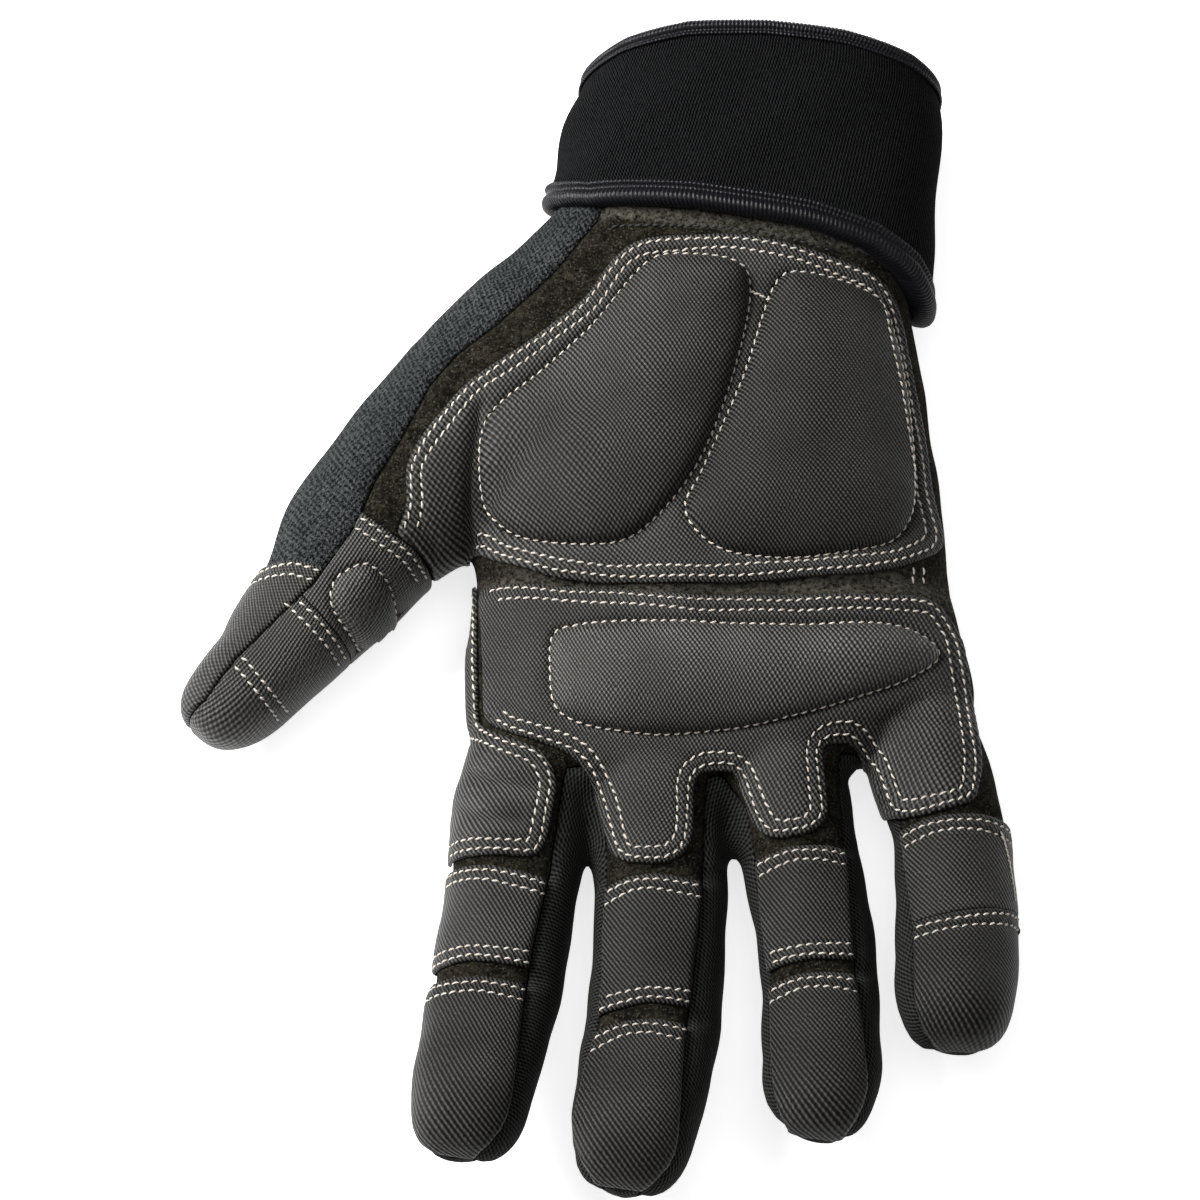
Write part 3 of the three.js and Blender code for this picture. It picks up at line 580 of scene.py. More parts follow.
terry, tree, shader, flat, solid = new_material(
    "terry", {"Roughness": 1.0, "Specular IOR Level": 0.03, "Sheen Weight": 0.05, "Sheen Roughness": 0.7,
              "Sheen Tint": (0.4, 0.5, 0.55, 1)})
rows = crossed_lines(tree, flat, 61, 1.13, 145, 1.04, 0.6, 1.1)
curl = noise(tree, solid, 900.0, 1.5, 0.6)
loops = ranged(tree, maths(tree, "ABSOLUTE", maths(tree, "SUBTRACT", curl, 0.5)), 0.0, 0.07, 1.0, 0.0)
fuzz = noise(tree, solid, 1700.0, 2.0, 0.6)
pile = maths(tree, "MULTIPLY_ADD", loops, 0.32, maths(tree, "MULTIPLY", rows, 0.42))
pile = maths(tree, "MULTIPLY_ADD", fuzz, 1.5, pile)
colour = blend(tree, ranged(tree, pile, 0.84, 1.28), (0.001, 0.0012, 0.0012, 1), (0.061, 0.064, 0.064, 1))
colour = handled(tree, solid, 70, colour)
finish_with(tree, shader, colour, pile, 0.0013)

knit, tree, shader, flat, solid = new_material(
    "knit", {"Roughness": 0.9, "Specular IOR Level": 0.04, "Sheen Weight": 0.01})
ribs = crossed_lines(tree, flat, 62, 0.8, 118, 0.86, 0.55, 0.3)
lint = noise(tree, solid, 1900.0, 3.0, 0.65)
wale = maths(tree, "MULTIPLY_ADD", lint, 0.9, ribs)
colour = blend(tree, ranged(tree, wale, 0.6, 1.45), (0.001, 0.001, 0.001, 1), (0.032, 0.032, 0.0295, 1))
finish_with(tree, shader, colour, wale, 0.00022)

seam_height = np.interp(form_points[:, 1], *np.array(SIDE_SEAM).T)
wrist = rim_low(form_points[:, 0], form_points[:, 2] / 18 - 1.2) + CUFF_TUCK - form_points[:, 1]
past_seam = inside_by(form_points, THUMB_SEAM)
walls = {name: inside_by(form_points, outline) for name, outline in SIDE_WALLS.items()}
between = np.max(list(walls.values()), axis=0)
palm_side = form_points[:, 2] - seam_height
own_margin = {
    "thumb_terry": past_seam,
    "palm_panel": np.minimum(np.minimum(-past_seam, -between), palm_side),
    "back_panel": np.minimum(np.minimum(-past_seam, -between), -palm_side),
    **{name: np.minimum(margin, -past_seam) for name, margin in walls.items()},
}
shell_finish = {"thumb_terry": ("terry", terry), "palm_panel": ("suede", suede)}
for name, margin in own_margin.items():
    whole = np.hstack([form_points, form_normals, margin[:, None], wrist[:, None]])
    sheet, faces = trim(whole, form_faces, np.minimum(margin - SEAM_GAP, wrist))
    sunk = sum(groove(sheet[:, 6], *size) for size in SEAM_GROOVES)
    grounded = np.clip(sheet[:, 2] / 1.5, 0, 1)
    panel = new_cloth(name + "_cloth", sheet[:, :3] - sheet[:, 3:6] * (sunk * grounded)[:, None], faces)
    keep_flat(panel, lay_flat(panel, "CONFORMAL" if name in shell_finish else "MINIMUM_STRETCH"))
    shape(panel, "SOLIDIFY", thickness=SHELL_THICK * MM, offset=-1)
    smooth_faces(panel)
    put_on(panel, *shell_finish.get(name, ("knit", knit)), name)

# Woven overlays: pieces of coarse woven cloth laid over the palm, the knuckles, the thumb and
# each finger joint, with turned edges, held by double rows of stitches along them. Those on the
# fingers are sewn into the side seams. The stitches pull grooves into the cloth.
CLOTH_LIFT = 1.15      # top of an overlay above the shell
CLOTH_THICK = 0.5
EDGE_ROLL = 1.0        # width over which a turned edge rises
EDGE_LOW = 0.3         # height of an overlay's edge above the shell
RAISED_EDGES = {"thumb_front_patch": 0.85, "thumb_end_patch": 0.85, "little_mid_patch": 0.95,
                "little_tip_patch": 0.95}
IN_SEAMS = ("mid_patch", "tip_patch")    # how the names end of what is sewn into the side seams
SEAM_DIP = (1.3, 0.8)            # depth and width of each groove in the cloth
STITCH_GROOVE = (0.34, 0.45)
GATHER = (0.1, 1.1)
PAD_GROOVES = ((0.55, 0.6), (0.35, 2.2))
SEAM_CLEAR = 0.1       # how far the patches end from the seams
PALM_CLEAR = 0.5       # how far the palm's overlays end above the side seam
THUMB_LOW = 8          # height at which the thumb's patches end
SHEET_SPARE = 1.5
ROW_WOBBLE = 0.12
ROW_CLEAR = 0.26       # how much nearer than its inset a row may come to an edge
ROWS = (1.2, 3.4)      # a double row of stitches, measured from the edge
STITCH_PITCH = 2.1
YARN = (0.115, 0.11, 0.101)
YARN_GAP = (0.0012, 0.0012, 0.0012, 1)
OVERLAYS = {           # easing of corners, turn of the weave, cross yarns, painted light and shade as a factor on the yarn colour and gloss, outline from above
    "palm_heel_overlay": (2.4, 52, 0.42, 0.85, [
        (-65.8, -3.1), (-63.4, -1), (-62.2, 4), (-63.2, 10.5), (-60.5, 16.5), (-56, 22.5), (-50, 30.5),
        (-37.5, 38.8), (-30.5, 44.2), (-24.5, 49.5), (-20, 56.5), (-16.5, 60.5), (-11, 62.9), (9, 63.6),
        (20, 61.3), (38.5, 56.4), (42.2, 53.2), (43.8, 48), (48.6, 19), (50, 6), (52.2, -1), (51.6, -5),
        (43, -10.4), (34, -12.4), (12.6, -14.6), (-1, -15.2), (-20, -14.8), (-32, -12.6), (-44, -7.6), (-48.6, -3),
        (-51.6, -8.6), (-53.4, -11.8), (-56, -9), (-60.9, -5.4)]),
    "knuckle_overlay": (1.8, 59, 0.5, 0.82, [
        (-46.8, -12.4), (-29.8, -15), (0, -18), (20, -17.8), (49, -16), (51.5, -17.4), (55.8, -24),
        (59.2, -52), (57.8, -61.4), (52, -63.6), (44.8, -65), (39.6, -63.6), (36.2, -53), (32, -47.4),
        (25.3, -48.6), (26.6, -65.2), (23.2, -69), (15, -70.2), (11.6, -67.2), (9.5, -61), (7.6, -54.2),
        (0, -54.6), (-1.7, -56.6), (-1.9, -69.5), (-3.6, -73.6), (-7.5, -75.7), (-15.5, -75.5),
        (-18.8, -73.3), (-21.3, -61), (-23.6, -54.8), (-27, -51.2), (-41.4, -46), (-45.7, -42), (-46.4, -17.6)]),
    "index_overlay": (1.4, 56, 0.22, 0.82, [
        (-58, -15), (-52, -12.5), (-50.6, -9.4), (-47.6, -9), (-46.8, -42.6), (-41.8, -46.9), (-34, -50),
        (-31.4, -53.4), (-30.4, -58), (-32.4, -70), (-34.2, -74), (-40, -73.8), (-66, -72), (-66, -46),
        (-53.4, -32)]),
    "index_mid_patch": (0.6, 60, 0.2, 0.74, [
        (-66, -74.4), (-53.9, -74.7), (-44.3, -75.7), (-31, -79.2), (-27, -80.6), (-29, -99.8),
        (-34, -98.8), (-48.3, -97), (-66, -98.2)]),
    "index_tip_patch": (0.6, 62, 0.2, 0.5, [
        (-66, -101.2), (-56.7, -100.8), (-46.1, -100.6), (-35, -102.8), (-30, -104.2), (-30, -160),
        (-66, -160)]),
    "middle_mid_patch": (0.6, 55, 0.22, 0.6, [
        (-28, -83.6), (-21.9, -80.8), (-15, -78.2), (-9.8, -77.8), (1.6, -79.4), (8, -80.8),
        (6, -109), (-1.3, -107.3), (-11, -106.6), (-22.8, -108.8), (-29, -111)]),
    "middle_tip_patch": (0.6, 56, 0.22, 0.55, [
        (-29, -115.8), (-24.2, -113.6), (-17.2, -110.6), (-11, -110), (-2.4, -111.5), (4, -113), (4, -165),
        (-34, -165), (-34, -118)]),
    "ring_mid_patch": (0.6, 54, 0.25, 0.62, [
        (6, -76), (9.9, -74.4), (18.5, -71.6), (24.8, -71.2), (31.9, -71.8), (36, -72.4), (37, -97.2),
        (33.1, -96.6), (22.3, -97), (11.9, -98.4), (8, -99.2)]),
    "ring_tip_patch": (0.6, 53, 0.25, 0.56, [
        (6, -105.2), (12.3, -102.4), (20, -100), (26.3, -99.6), (33.6, -100.4), (40, -101.6), (40, -155),
        (6, -155)]),
    "little_mid_patch": (0.6, 52, 0.3, 0.66, [
        (36, -70), (40.2, -68.2), (46.5, -65.9), (52, -64.9), (58, -64.5), (72, -66), (72, -83),
        (56.5, -86.1), (42, -89), (38, -90)]),
    "little_tip_patch": (0.6, 50, 0.3, 0.52, [
        (36, -90.5), (42, -89.1), (56.5, -86.2), (72, -83.1), (72, -140), (36, -140)]),
    "thumb_front_patch": (0.6, 121, 0.6, 1.0, [
        (-76, 2), (-72, 0.7), (-66.5, -3.1), (-61.2, -5.9), (-56.6, -9.6), (-54, -12.5), (-62, -40),
        (-72.8, -28.3), (-77.8, -23.5), (-86.2, -15.2)]),
    "thumb_end_patch": (0.6, 123, 0.6, 0.95, [
        (-90, -12), (-86.3, -15.4), (-77.9, -23.7), (-72.9, -28.5), (-60, -44), (-100, -70),
        (-125, -50)]),
    "thumb_back_cap": (0.6, 89, 0.5, 0.76, [
        (-78.5, -11.4), (-86, -8.8), (-94, -8.4), (-120, -10), (-120, -60), (-100, -60), (-70, -20)]),
}
SEWN = {               # stretches with a double row of stitches: first corner, last corner
    "palm_heel_overlay": [(0.2, 29)],
    "knuckle_overlay": [(0, 31.9)],
    "index_overlay": [(3, 12)],
    "index_mid_patch": [(0, 4), (5, 8)],
    "index_tip_patch": [(0, 4)],
    "middle_mid_patch": [(0, 5), (6, 10)],
    "middle_tip_patch": [(0, 5)],
    "ring_mid_patch": [(0, 5), (6, 10)],
    "ring_tip_patch": [(0, 5)],
    "little_mid_patch": [(0, 5)],
    "little_tip_patch": [(0, 3)],
    "thumb_front_patch": [(0, 5)],
    "thumb_end_patch": [(1, 3.8)],
    "thumb_back_cap": [(0, 3)],
}
END_BAND = [           # a double row across the end of the thumb, on no edge
    [(-97.6, -29.5), (-96.1, -30.9), (-90.2, -37.4), (-85.8, -39.4), (-80, -42), (-74, -46)],
    [(-99.4, -31.2), (-97.9, -32.6), (-92.4, -38.6), (-88.4, -41.2), (-82, -44.4), (-76, -48.6)],
]
PADS = {               # overlay, swell over it, painted light and shade as a factor on the yarn colour and gloss, and the row of stitches round the pad
    "thenar_pad": ("palm_heel_overlay", 5.8, 0.78, [
        (-10, 58), (-3, 59), (9, 56.5), (11, 52), (6.2, 28), (-2, 8.6), (-10.6, -2), (-17, -5.8),
        (-28, -5.8), (-38.6, -3.2), (-45, 2), (-47, 11), (-45.2, 22), (-33, 33.4), (-23.6, 42.4)]),
    "hypothenar_pad": ("palm_heel_overlay", 5.2, 0.6, [
        (17.6, 53.6), (22, 54.9), (35, 52.8), (39.6, 50), (42.6, 41), (44.8, 28), (46, 10), (45, 1),
        (41, -4.6), (31, -8), (18, -9.6), (5, -8), (-1.4, -3.2), (-3.2, 1.6), (0, 8.6), (9.2, 30)]),
    "knuckle_pad": ("knuckle_overlay", 4, 1.22, [
        (-31.2, -25.6), (-28.6, -24.1), (21, -24.2), (42, -23.4), (49, -26.4), (50.6, -29.2), (45, -34.2),
        (33.6, -39.2), (16.6, -44.2), (0, -46.8), (-12, -47.2), (-26, -44.4), (-30.6, -41), (-31.8, -33)]),
    "thumb_pad": ("thumb_front_patch", 2, 1.2, [
        (-77.4, -13.4), (-74.7, -11.4), (-71, -10), (-66.8, -12.6), (-65, -17.6), (-66.4, -22.6),
        (-70.6, -25.4), (-75.4, -22.8), (-78.4, -18.2)]),
}


def row_along(line, place, first, last, inset, into_seams):
    """A row of stitches beside a closed outline, from one of its corners to another.

    Where the cloth is sewn into the seams, the row runs straight on into them.
    """
    count = round(place[-1] + (place[-1] - place[-2]))
    spread = np.arange(len(line) * 2) % len(line)
    laps = np.concatenate([place, place + count])
    forward = np.roll(line, -1, 0) - np.roll(line, 1, 0)
    forward /= np.linalg.norm(forward, axis=1)[:, None]
    area = (line[:, 0] * np.roll(line[:, 1], -1) - line[:, 1] * np.roll(line[:, 0], -1)).sum()
    inward = np.stack([-forward[:, 1], forward[:, 0]], 1) * math.copysign(1, area)
    chosen = spread[(laps >= first) & (laps <= last)]
    wobble = ROW_WOBBLE * np.sin(np.arange(len(chosen)) * 0.23 + inset * 2)
    row = line[chosen] + inward[chosen] * (inset + wobble)[:, None]
    if into_seams:
        reach = np.arange(1, 6)[:, None]
        row = row[3:-3]
        before = row[0] + (row[0] - row[2]) * reach[::-1] / 2
        after = row[-1] + (row[-1] - row[-3]) * reach / 2
        return np.vstack([before, row, after])
    clear = distance_to(row, line, closed=True)[0] > inset - ROW_CLEAR
    return row[clear]


def closed_spline(outline, count):
    """A smooth closed line through a pad's few corners."""
    points = np.array(outline, float)
    knots = np.concatenate([points[-3:], points, points[:3]])
    run = np.concatenate([[0], np.cumsum(np.linalg.norm(np.diff(knots, axis=0), axis=1) ** 0.5)])
    line = []
    for i in range(3, 3 + len(points)):
        t0, t1, t2, t3 = run[i - 1:i + 3]
        p0, p1, p2, p3 = knots[i - 1:i + 3]
        for t in np.linspace(t1, t2, count, endpoint=False):
            a1 = (t1 - t) / (t1 - t0) * p0 + (t - t0) / (t1 - t0) * p1
            a2 = (t2 - t) / (t2 - t1) * p1 + (t - t1) / (t2 - t1) * p2
            a3 = (t3 - t) / (t3 - t2) * p2 + (t - t2) / (t3 - t2) * p3
            b1 = (t2 - t) / (t2 - t0) * a1 + (t - t0) / (t2 - t0) * a2
            b2 = (t3 - t) / (t3 - t1) * a2 + (t - t1) / (t3 - t1) * a3
            line.append((t2 - t) / (t2 - t1) * b1 + (t - t1) / (t2 - t1) * b2)
    return np.array(line)


def overlay_limit(name, points):
    """How far a point is inside the shell's seams that an overlay stops at."""
    seam = np.interp(points[:, 1], *np.array(SIDE_SEAM).T)
    normals = points[:, 3:6]
    if name.endswith(IN_SEAMS):
        walls = [-inside_by(points, wall, normals) for wall in SIDE_WALLS.values()]
        return np.minimum(np.min(walls, axis=0), points[:, 2] - seam) - SEAM_CLEAR
    if name == "thumb_back_cap":
        return inside_by(points, THUMB_SEAM) - SEAM_CLEAR
    if name.startswith("thumb"):
        return np.minimum(-inside_by(points, THUMB_SEAM) - SEAM_CLEAR, points[:, 2] - THUMB_LOW)
    return points[:, 2] - seam - PALM_CLEAR


def fine_sheet(name, outline):
    """The form's skin round an outline, laid flat and divided once, as rows of numbers."""
    low, high = outline.min(0) - 4, outline.max(0) + 4
    apart = np.minimum(form_points[:, :2] - low, high - form_points[:, :2]).min(1)
    sheet, faces = trim(np.hstack([form_points, form_normals]), form_faces, apart)
    area = np.minimum(inside_by(sheet, outline), overlay_limit(name, sheet)) + SHEET_SPARE
    sheet, faces = trim(sheet, faces, area)
    rough = new_cloth(name, sheet, faces)
    keep_flat(rough, lay_flat(rough))
    shape(rough, "SUBSURF", levels=1, render_levels=1, uv_smooth="NONE")
    sheet = np.hstack([corners_of(rough.data), normals_of(rough.data), flat_places(rough.data)])
    faces = faces_of(rough.data)
    bpy.data.objects.remove(rough)
    return sheet, faces


def woven_cloth(name, turn, cross, painted_light):
    """Coarse woven cloth: light yarns in slanting lines, crossed by fainter ones, over dark gaps. Its yarn colour
    and gloss carry painted light and shade, scaled for each piece.
    """
    # Painted light and shade: the factor darkens or lightens this piece's yarn colour and scales its specular
    # level, darker towards the fingertips.
    material, tree, shader, flat, solid = new_material(
        name, {"Roughness": 0.52, "Specular IOR Level": 0.2 * painted_light, "Sheen Weight": 0.02, "Sheen Roughness": 0.4})
    thumb = name.startswith("thumb")
    second = turn - 69 if thumb else turn + 71
    lines = 0.72 if thumb else 0.79
    threads = crossed_lines(tree, flat, turn, lines, second, lines, cross, 0.25)
    fibre = noise(tree, flat, 3600.0, 2.0)
    yarn = maths(tree, "POWER", ranged(tree, threads, 0.14, 0.98), 1.8)
    yarn = maths(tree, "MULTIPLY", yarn, ranged(tree, fibre, 0.25, 0.75, 0.6, 1.3))
    light = (*(channel * painted_light for channel in YARN), 1)
    colour = handled(tree, solid, 55, blend(tree, yarn, YARN_GAP, light))
    finish_with(tree, shader, colour, threads, 0.00026)
    return material


pads_on = {name: [pad for pad, row in PADS.items() if row[0] == name] for name in OVERLAYS}
stitch_rows = {}
for name, (corner, turn, cross, painted_light, outline) in OVERLAYS.items():
    line, place = rounded(outline, corner)
    stitch_rows[name] = [row_along(line, place, first, last, inset, name.endswith(IN_SEAMS))
                         for first, last in SEWN[name] for inset in ROWS]
stitch_rows["thumb_end_patch"] += [spline(row, 6) for row in END_BAND]
pad_rims = {pad: closed_spline(rim, 6) for pad, (overlay, swell, pad_painted_light, rim) in PADS.items()}
draping, pad_sheets, woven_finish = [], {}, {}
for name, (corner, turn, cross, painted_light, outline) in OVERLAYS.items():
    line, place = rounded(outline, corner)
    sheet, faces = fine_sheet(name, line)
    margin = np.minimum(inside_by(sheet, line, sheet[:, 3:6]), overlay_limit(name, sheet))
    sheet, faces = trim(np.hstack([sheet, margin[:, None]]), faces, margin)
    share = np.clip(sheet[:, 8] / EDGE_ROLL, 0, 1)
    low = RAISED_EDGES.get(name, EDGE_LOW)
    height = low + (CLOTH_LIFT - low) * np.sqrt(1 - (1 - share) ** 2)
    upper = np.clip(sheet[:, 5] * 3, 0, 1)
    if name.endswith(IN_SEAMS):
        height -= groove(overlay_limit(name, sheet), *SEAM_DIP)
    for row in stitch_rows[name]:
        apart, away, along = distance_to(sheet, row)
        gather = np.cos(along * OUTLINE_STEP / STITCH_PITCH * 2 * math.pi)
        height -= groove(apart, upper * STITCH_GROOVE[0], STITCH_GROOVE[1])
        height += groove(apart, upper * GATHER[0] * gather, GATHER[1])
    for pad in pads_on[name]:
        rim_distance = np.where(sheet[:, 5] > 0, inside_by(sheet, pad_rims[pad], sheet[:, 3:6]), -9)
        height -= sum(groove(rim_distance, *size) for size in PAD_GROOVES)
    sheet = np.hstack([sheet, height[:, None]])
    for pad in pads_on[name]:
        margin = np.where(sheet[:, 5] > 0, inside_by(sheet, pad_rims[pad], sheet[:, 3:6]), -1)
        pad_sheets[pad] = trim(sheet, faces, margin)
        sheet, faces = trim(sheet, faces, -margin)
    top = sheet[:, :3] + sheet[:, 3:6] * sheet[:, 9:10]
    cloth = new_cloth(name + "_cloth", top, faces)
    keep_flat(cloth, sheet[:, 6:8])
    draping.append((top, faces))
    shape(cloth, "SOLIDIFY", thickness=CLOTH_THICK * MM, offset=-1)
    smooth_faces(cloth)
    woven_finish[name] = woven_cloth(name, turn, cross, painted_light)
    for pad in pads_on[name]:
        woven_finish[pad] = woven_cloth(pad, turn, cross, PADS[pad][2])
    put_on(cloth, "woven", woven_finish[name], name)

# Gel pads: soft gel pads under the woven cloth of the palm, the knuckles and the thumb. The cloth
# swells over each one, and a row of stitches all round pulls it down to the glove.
COVER_SCALE = 0.02     # metres of simulated cloth for each millimetre of pad
PRESSURE = 4
MOVE_CAP = 1.4         # how far the simulation may move the cover
PAD_EDGE = 6.5         # width over which a pad rises
DRAWN_SHARE = 0.9      # share of a pad's swell that is drawn before the simulation
LOOSE_FROM = 2.5       # how far from the rim the drawn crown is smoothed
HELD_WIDTH = 0.8       # how wide the sewn rim is held
TENSION = 15
BENDING = 0.5
FRAMES = 20
BELOW = 0.5            # from how far under the sheet, and how far over it, the cover is looked for
ABOVE = 12


def plump(pad, swell):
    """The cover of a pad blown out over its filling, with the sewn rim held in place.

    The crown is drawn first, then cloth simulation at a tailor's larger scale lets the cover
    find its own shape. The result is a surface to lay the fine cloth on.
    """
    apart = inside_by(form_points, pad_rims[pad])
    upper = np.where(form_normals[:, 2] > 0, apart, -1)
    sheet, faces = trim(np.hstack([form_points, form_normals, apart[:, None]]), form_faces, upper)
    deep = sheet[:, 6] / sheet[:, 6].max()
    near = np.clip(sheet[:, 6] / min(PAD_EDGE, sheet[:, 6].max()), 0, 1)
    crown = swell * DRAWN_SHARE * (0.6 * np.sqrt(1 - (1 - near) ** 2) + 0.4 * (1 - (1 - deep) ** 2))
    cover = new_cloth(pad + "_cover", sheet[:, :3] + sheet[:, 3:6] * crown[:, None], faces)
    loose = cover.vertex_groups.new(name="loose")
    loose.add(np.flatnonzero(sheet[:, 6] > LOOSE_FROM).tolist(), 1, "REPLACE")
    shape(cover, "SMOOTH", factor=0.5, iterations=30, vertex_group="loose")
    start = corners_of(cover.data)
    cover.data.vertices.foreach_set("co", (start * COVER_SCALE).ravel())
    rim = cover.vertex_groups.new(name="rim")
    rim.add(np.flatnonzero(sheet[:, 6] < HELD_WIDTH).tolist(), 1, "REPLACE")
    cloth = cover.modifiers.new("Cloth", "CLOTH")
    cloth.settings.vertex_group_mass = "rim"
    cloth.settings.effector_weights.gravity = 0
    cloth.settings.use_pressure = True
    cloth.settings.uniform_pressure_force = PRESSURE
    cloth.settings.tension_stiffness = TENSION
    cloth.settings.bending_stiffness = BENDING
    cloth.point_cache.frame_end = FRAMES
    for count in range(1, FRAMES + 1):
        bpy.context.scene.frame_set(count)
    pick(cover)
    bpy.ops.object.modifier_apply(modifier="Cloth")
    bpy.context.scene.frame_set(1)
    moved = corners_of(cover.data) * MM / COVER_SCALE - start
    far = np.linalg.norm(moved, axis=1)
    start = start + moved * np.minimum(1, MOVE_CAP / np.maximum(far, 1e-6))[:, None]
    put_corners(cover.data, start)
    shape(cover, "SUBSURF", levels=2, render_levels=2)
    surface = BVHTree.FromPolygons(corners_of(cover.data).tolist(), faces_of(cover.data))
    bpy.data.objects.remove(cover)
    return surface


def height_under(surface, sheet):
    """How far a surface is above each point of a sheet, along its normal."""
    heights = []
    for point, normal in zip(sheet[:, :3].tolist(), sheet[:, 3:6].tolist()):
        start = Vector(point) - Vector(normal) * BELOW
        place, *_, drop = surface.ray_cast(start, Vector(normal), ABOVE)
        heights.append(0 if place is None else drop - BELOW)
    return np.maximum(heights, 0)


for pad, (overlay, swell, pad_painted_light, rim) in PADS.items():
    sheet, faces = pad_sheets[pad]
    crown = height_under(plump(pad, swell), sheet)
    top = sheet[:, :3] + sheet[:, 3:6] * (sheet[:, 9] + crown)[:, None]
    pillow = new_cloth(pad + "_cloth", top, faces)
    keep_flat(pillow, sheet[:, 6:8])
    draping.append((top, faces))
    shape(pillow, "SOLIDIFY", thickness=CLOTH_THICK * MM, offset=-1)
    smooth_faces(pillow)
    put_on(pillow, "woven", woven_finish[pad], pad)

# Stitching: cream spun thread, sewn through the overlays in a long lock stitch. Each stitch lies
# in the groove that it pulls, slightly askew to its row, and dips into the cloth at both ends.
STITCH_LONG = 1.7
STITCH_WIDE = 0.52
STITCH_THICK = 0.4
STITCH_BEND = 0.28     # how far its ends dip into the cloth
STITCH_LIFT = 0.14
STITCH_SLANT = math.radians(14)
STITCH_AIM = 0.7       # how far before and after a stitch its row's direction is taken
ROW_STEP = 0.35
ROW_BREAK = 3          # a row stops where the cloth is this much further on
top_points, top_faces, count = [], [], 0
for points, faces in draping:
    top_points.append(points)
    top_faces += [[corner + count for corner in face] for face in faces]
    count += len(points)
woven_top = BVHTree.FromPolygons(np.vstack(top_points).tolist(), top_faces)
bpy.ops.object.select_all(action="DESELECT")
bpy.ops.mesh.primitive_uv_sphere_add(segments=6, ring_count=6, radius=1)
one_stitch = bpy.context.object
with editing():
    bpy.ops.transform.rotate(value=math.pi / 2, orient_axis="Y", center_override=(0, 0, 0))
    bpy.ops.transform.resize(value=(STITCH_LONG / 2, STITCH_WIDE / 2, STITCH_THICK / 2))
stitch_points = np.array([tuple(corner.co) for corner in one_stitch.data.vertices])
stitch_points[:, 2] -= STITCH_BEND * (stitch_points[:, 0] / (STITCH_LONG / 2)) ** 2
stitch_faces = faces_of(one_stitch.data)
bpy.data.objects.remove(one_stitch)


def draped(row, surface):
    """The stretches of a row, seen from above, that lie on the cloth, as places and normals."""
    stretches, stretch = [], []
    for x, y in row:
        place, normal, *_ = surface.ray_cast(Vector((x, y, 90)), Vector((0, 0, -1)))
        if place is None or (stretch and (place - stretch[-1][0]).length > ROW_BREAK):
            stretches.append(stretch)
            stretch = []
        if place is not None:
            stretch.append((place, normal))
    return [stretch for stretch in [*stretches, stretch] if len(stretch) > 3]


def sew(name, rows, surface=woven_top, pitch=STITCH_PITCH):
    """One object of all the stitches along some rows."""
    points, faces = [], []
    for row in rows:
        line = np.array(row)
        run = run_of(line)
        line = points_at(np.arange(0, run[-1], ROW_STEP), run, line)
        for stretch in draped(line, surface):
            places = np.array([tuple(place) for place, normal in stretch])
            normals = np.array([tuple(normal) for place, normal in stretch])
            kernel = np.ones(5) / 5
            if len(places) > 6:
                for axis in range(3):
                    places[2:-2, axis] = np.convolve(places[:, axis], kernel, "valid")
                    normals[2:-2, axis] = np.convolve(normals[:, axis], kernel, "valid")
            run = run_of(places)
            for middle in np.arange(pitch / 2, run[-1] - pitch / 3, pitch):
                here, before, after = (points_at(middle + reach, run, places)
                                       for reach in (0, -STITCH_AIM, STITCH_AIM))
                up = points_at(middle, run, normals)
                up /= np.linalg.norm(up)
                ahead = after - before
                ahead -= up * (ahead @ up)
                ahead /= np.linalg.norm(ahead)
                side = np.cross(up, ahead)
                slant = STITCH_SLANT * (1 + 0.5 * math.sin(len(points) * 2.4))
                ahead, side = (math.cos(slant) * ahead + math.sin(slant) * side,
                               math.cos(slant) * side - math.sin(slant) * ahead)
                long = 1 + 0.08 * math.sin(len(points) * 1.7)
                placed = stitch_points @ np.array([ahead * long, side, up]) + here + up * STITCH_LIFT
                faces += [[corner + len(points) * len(placed) for corner in face] for face in stitch_faces]
                points.append(placed)
    thread = new_cloth(name, np.vstack(points), faces)
    smooth_faces(thread)
    return thread


thread, tree, shader, flat, solid = new_material("thread", {"Roughness": 0.75, "Sheen Weight": 0.1})
twist = node(tree, "ShaderNodeTexWave", {"Vector": solid, "Scale": 1100.0, "Distortion": 1.0},
             bands_direction="DIAGONAL").outputs["Fac"]
dirt = noise(tree, solid, 120.0, 2.0)
colour = blend(tree, twist, (0.36, 0.31, 0.26, 1), (0.7, 0.64, 0.56, 1))
colour = blend(tree, ranged(tree, dirt, 0.4, 0.7, 0.0, 0.4), colour, (0.24, 0.19, 0.15, 1))
finish_with(tree, shader, colour, twist, 0.00008)
for name in OVERLAYS:
    rows = list(stitch_rows[name])
    rows += [np.vstack([pad_rims[pad], pad_rims[pad][:1]]) for pad in pads_on[name]]
    put_on(sew(name + "_stitches", rows), "thread", thread)

# Loose ends and bartacks: the joining stitch between the two palm pads, the short tacks at the
# palm's crease, the worn edge of the little finger, and small loops of black thread.
FRAY = [(63, -67.5), (64.2, -72), (65.1, -77), (65.7, -82)]
LOOPS = {"little_finger_loop": (65.6, -87.6, 19), "cuff_loop": (52.2, 98, 27)}
LOOP_RADIUS = 1.1
LOOP_THREAD = 0.2      # radius of a loop's thread
black_thread, tree, shader, flat, solid = new_material("black thread", {"Roughness": 0.7})
strand = noise(tree, solid, 2000.0, 2.0)
finish_with(tree, shader, blend(tree, strand, (0.002, 0.002, 0.002, 1), (0.014, 0.014, 0.015, 1)), strand, 0.00006)
put_on(sew("pad_joining_stitch", [[(10.9, 50.4), (15.4, 48.2)]], pitch=1.3), "thread", thread)
tacks = [[(45.6, -9.6), (45.2, -14)], [(47.8, -9.2), (47.6, -13.4)]]
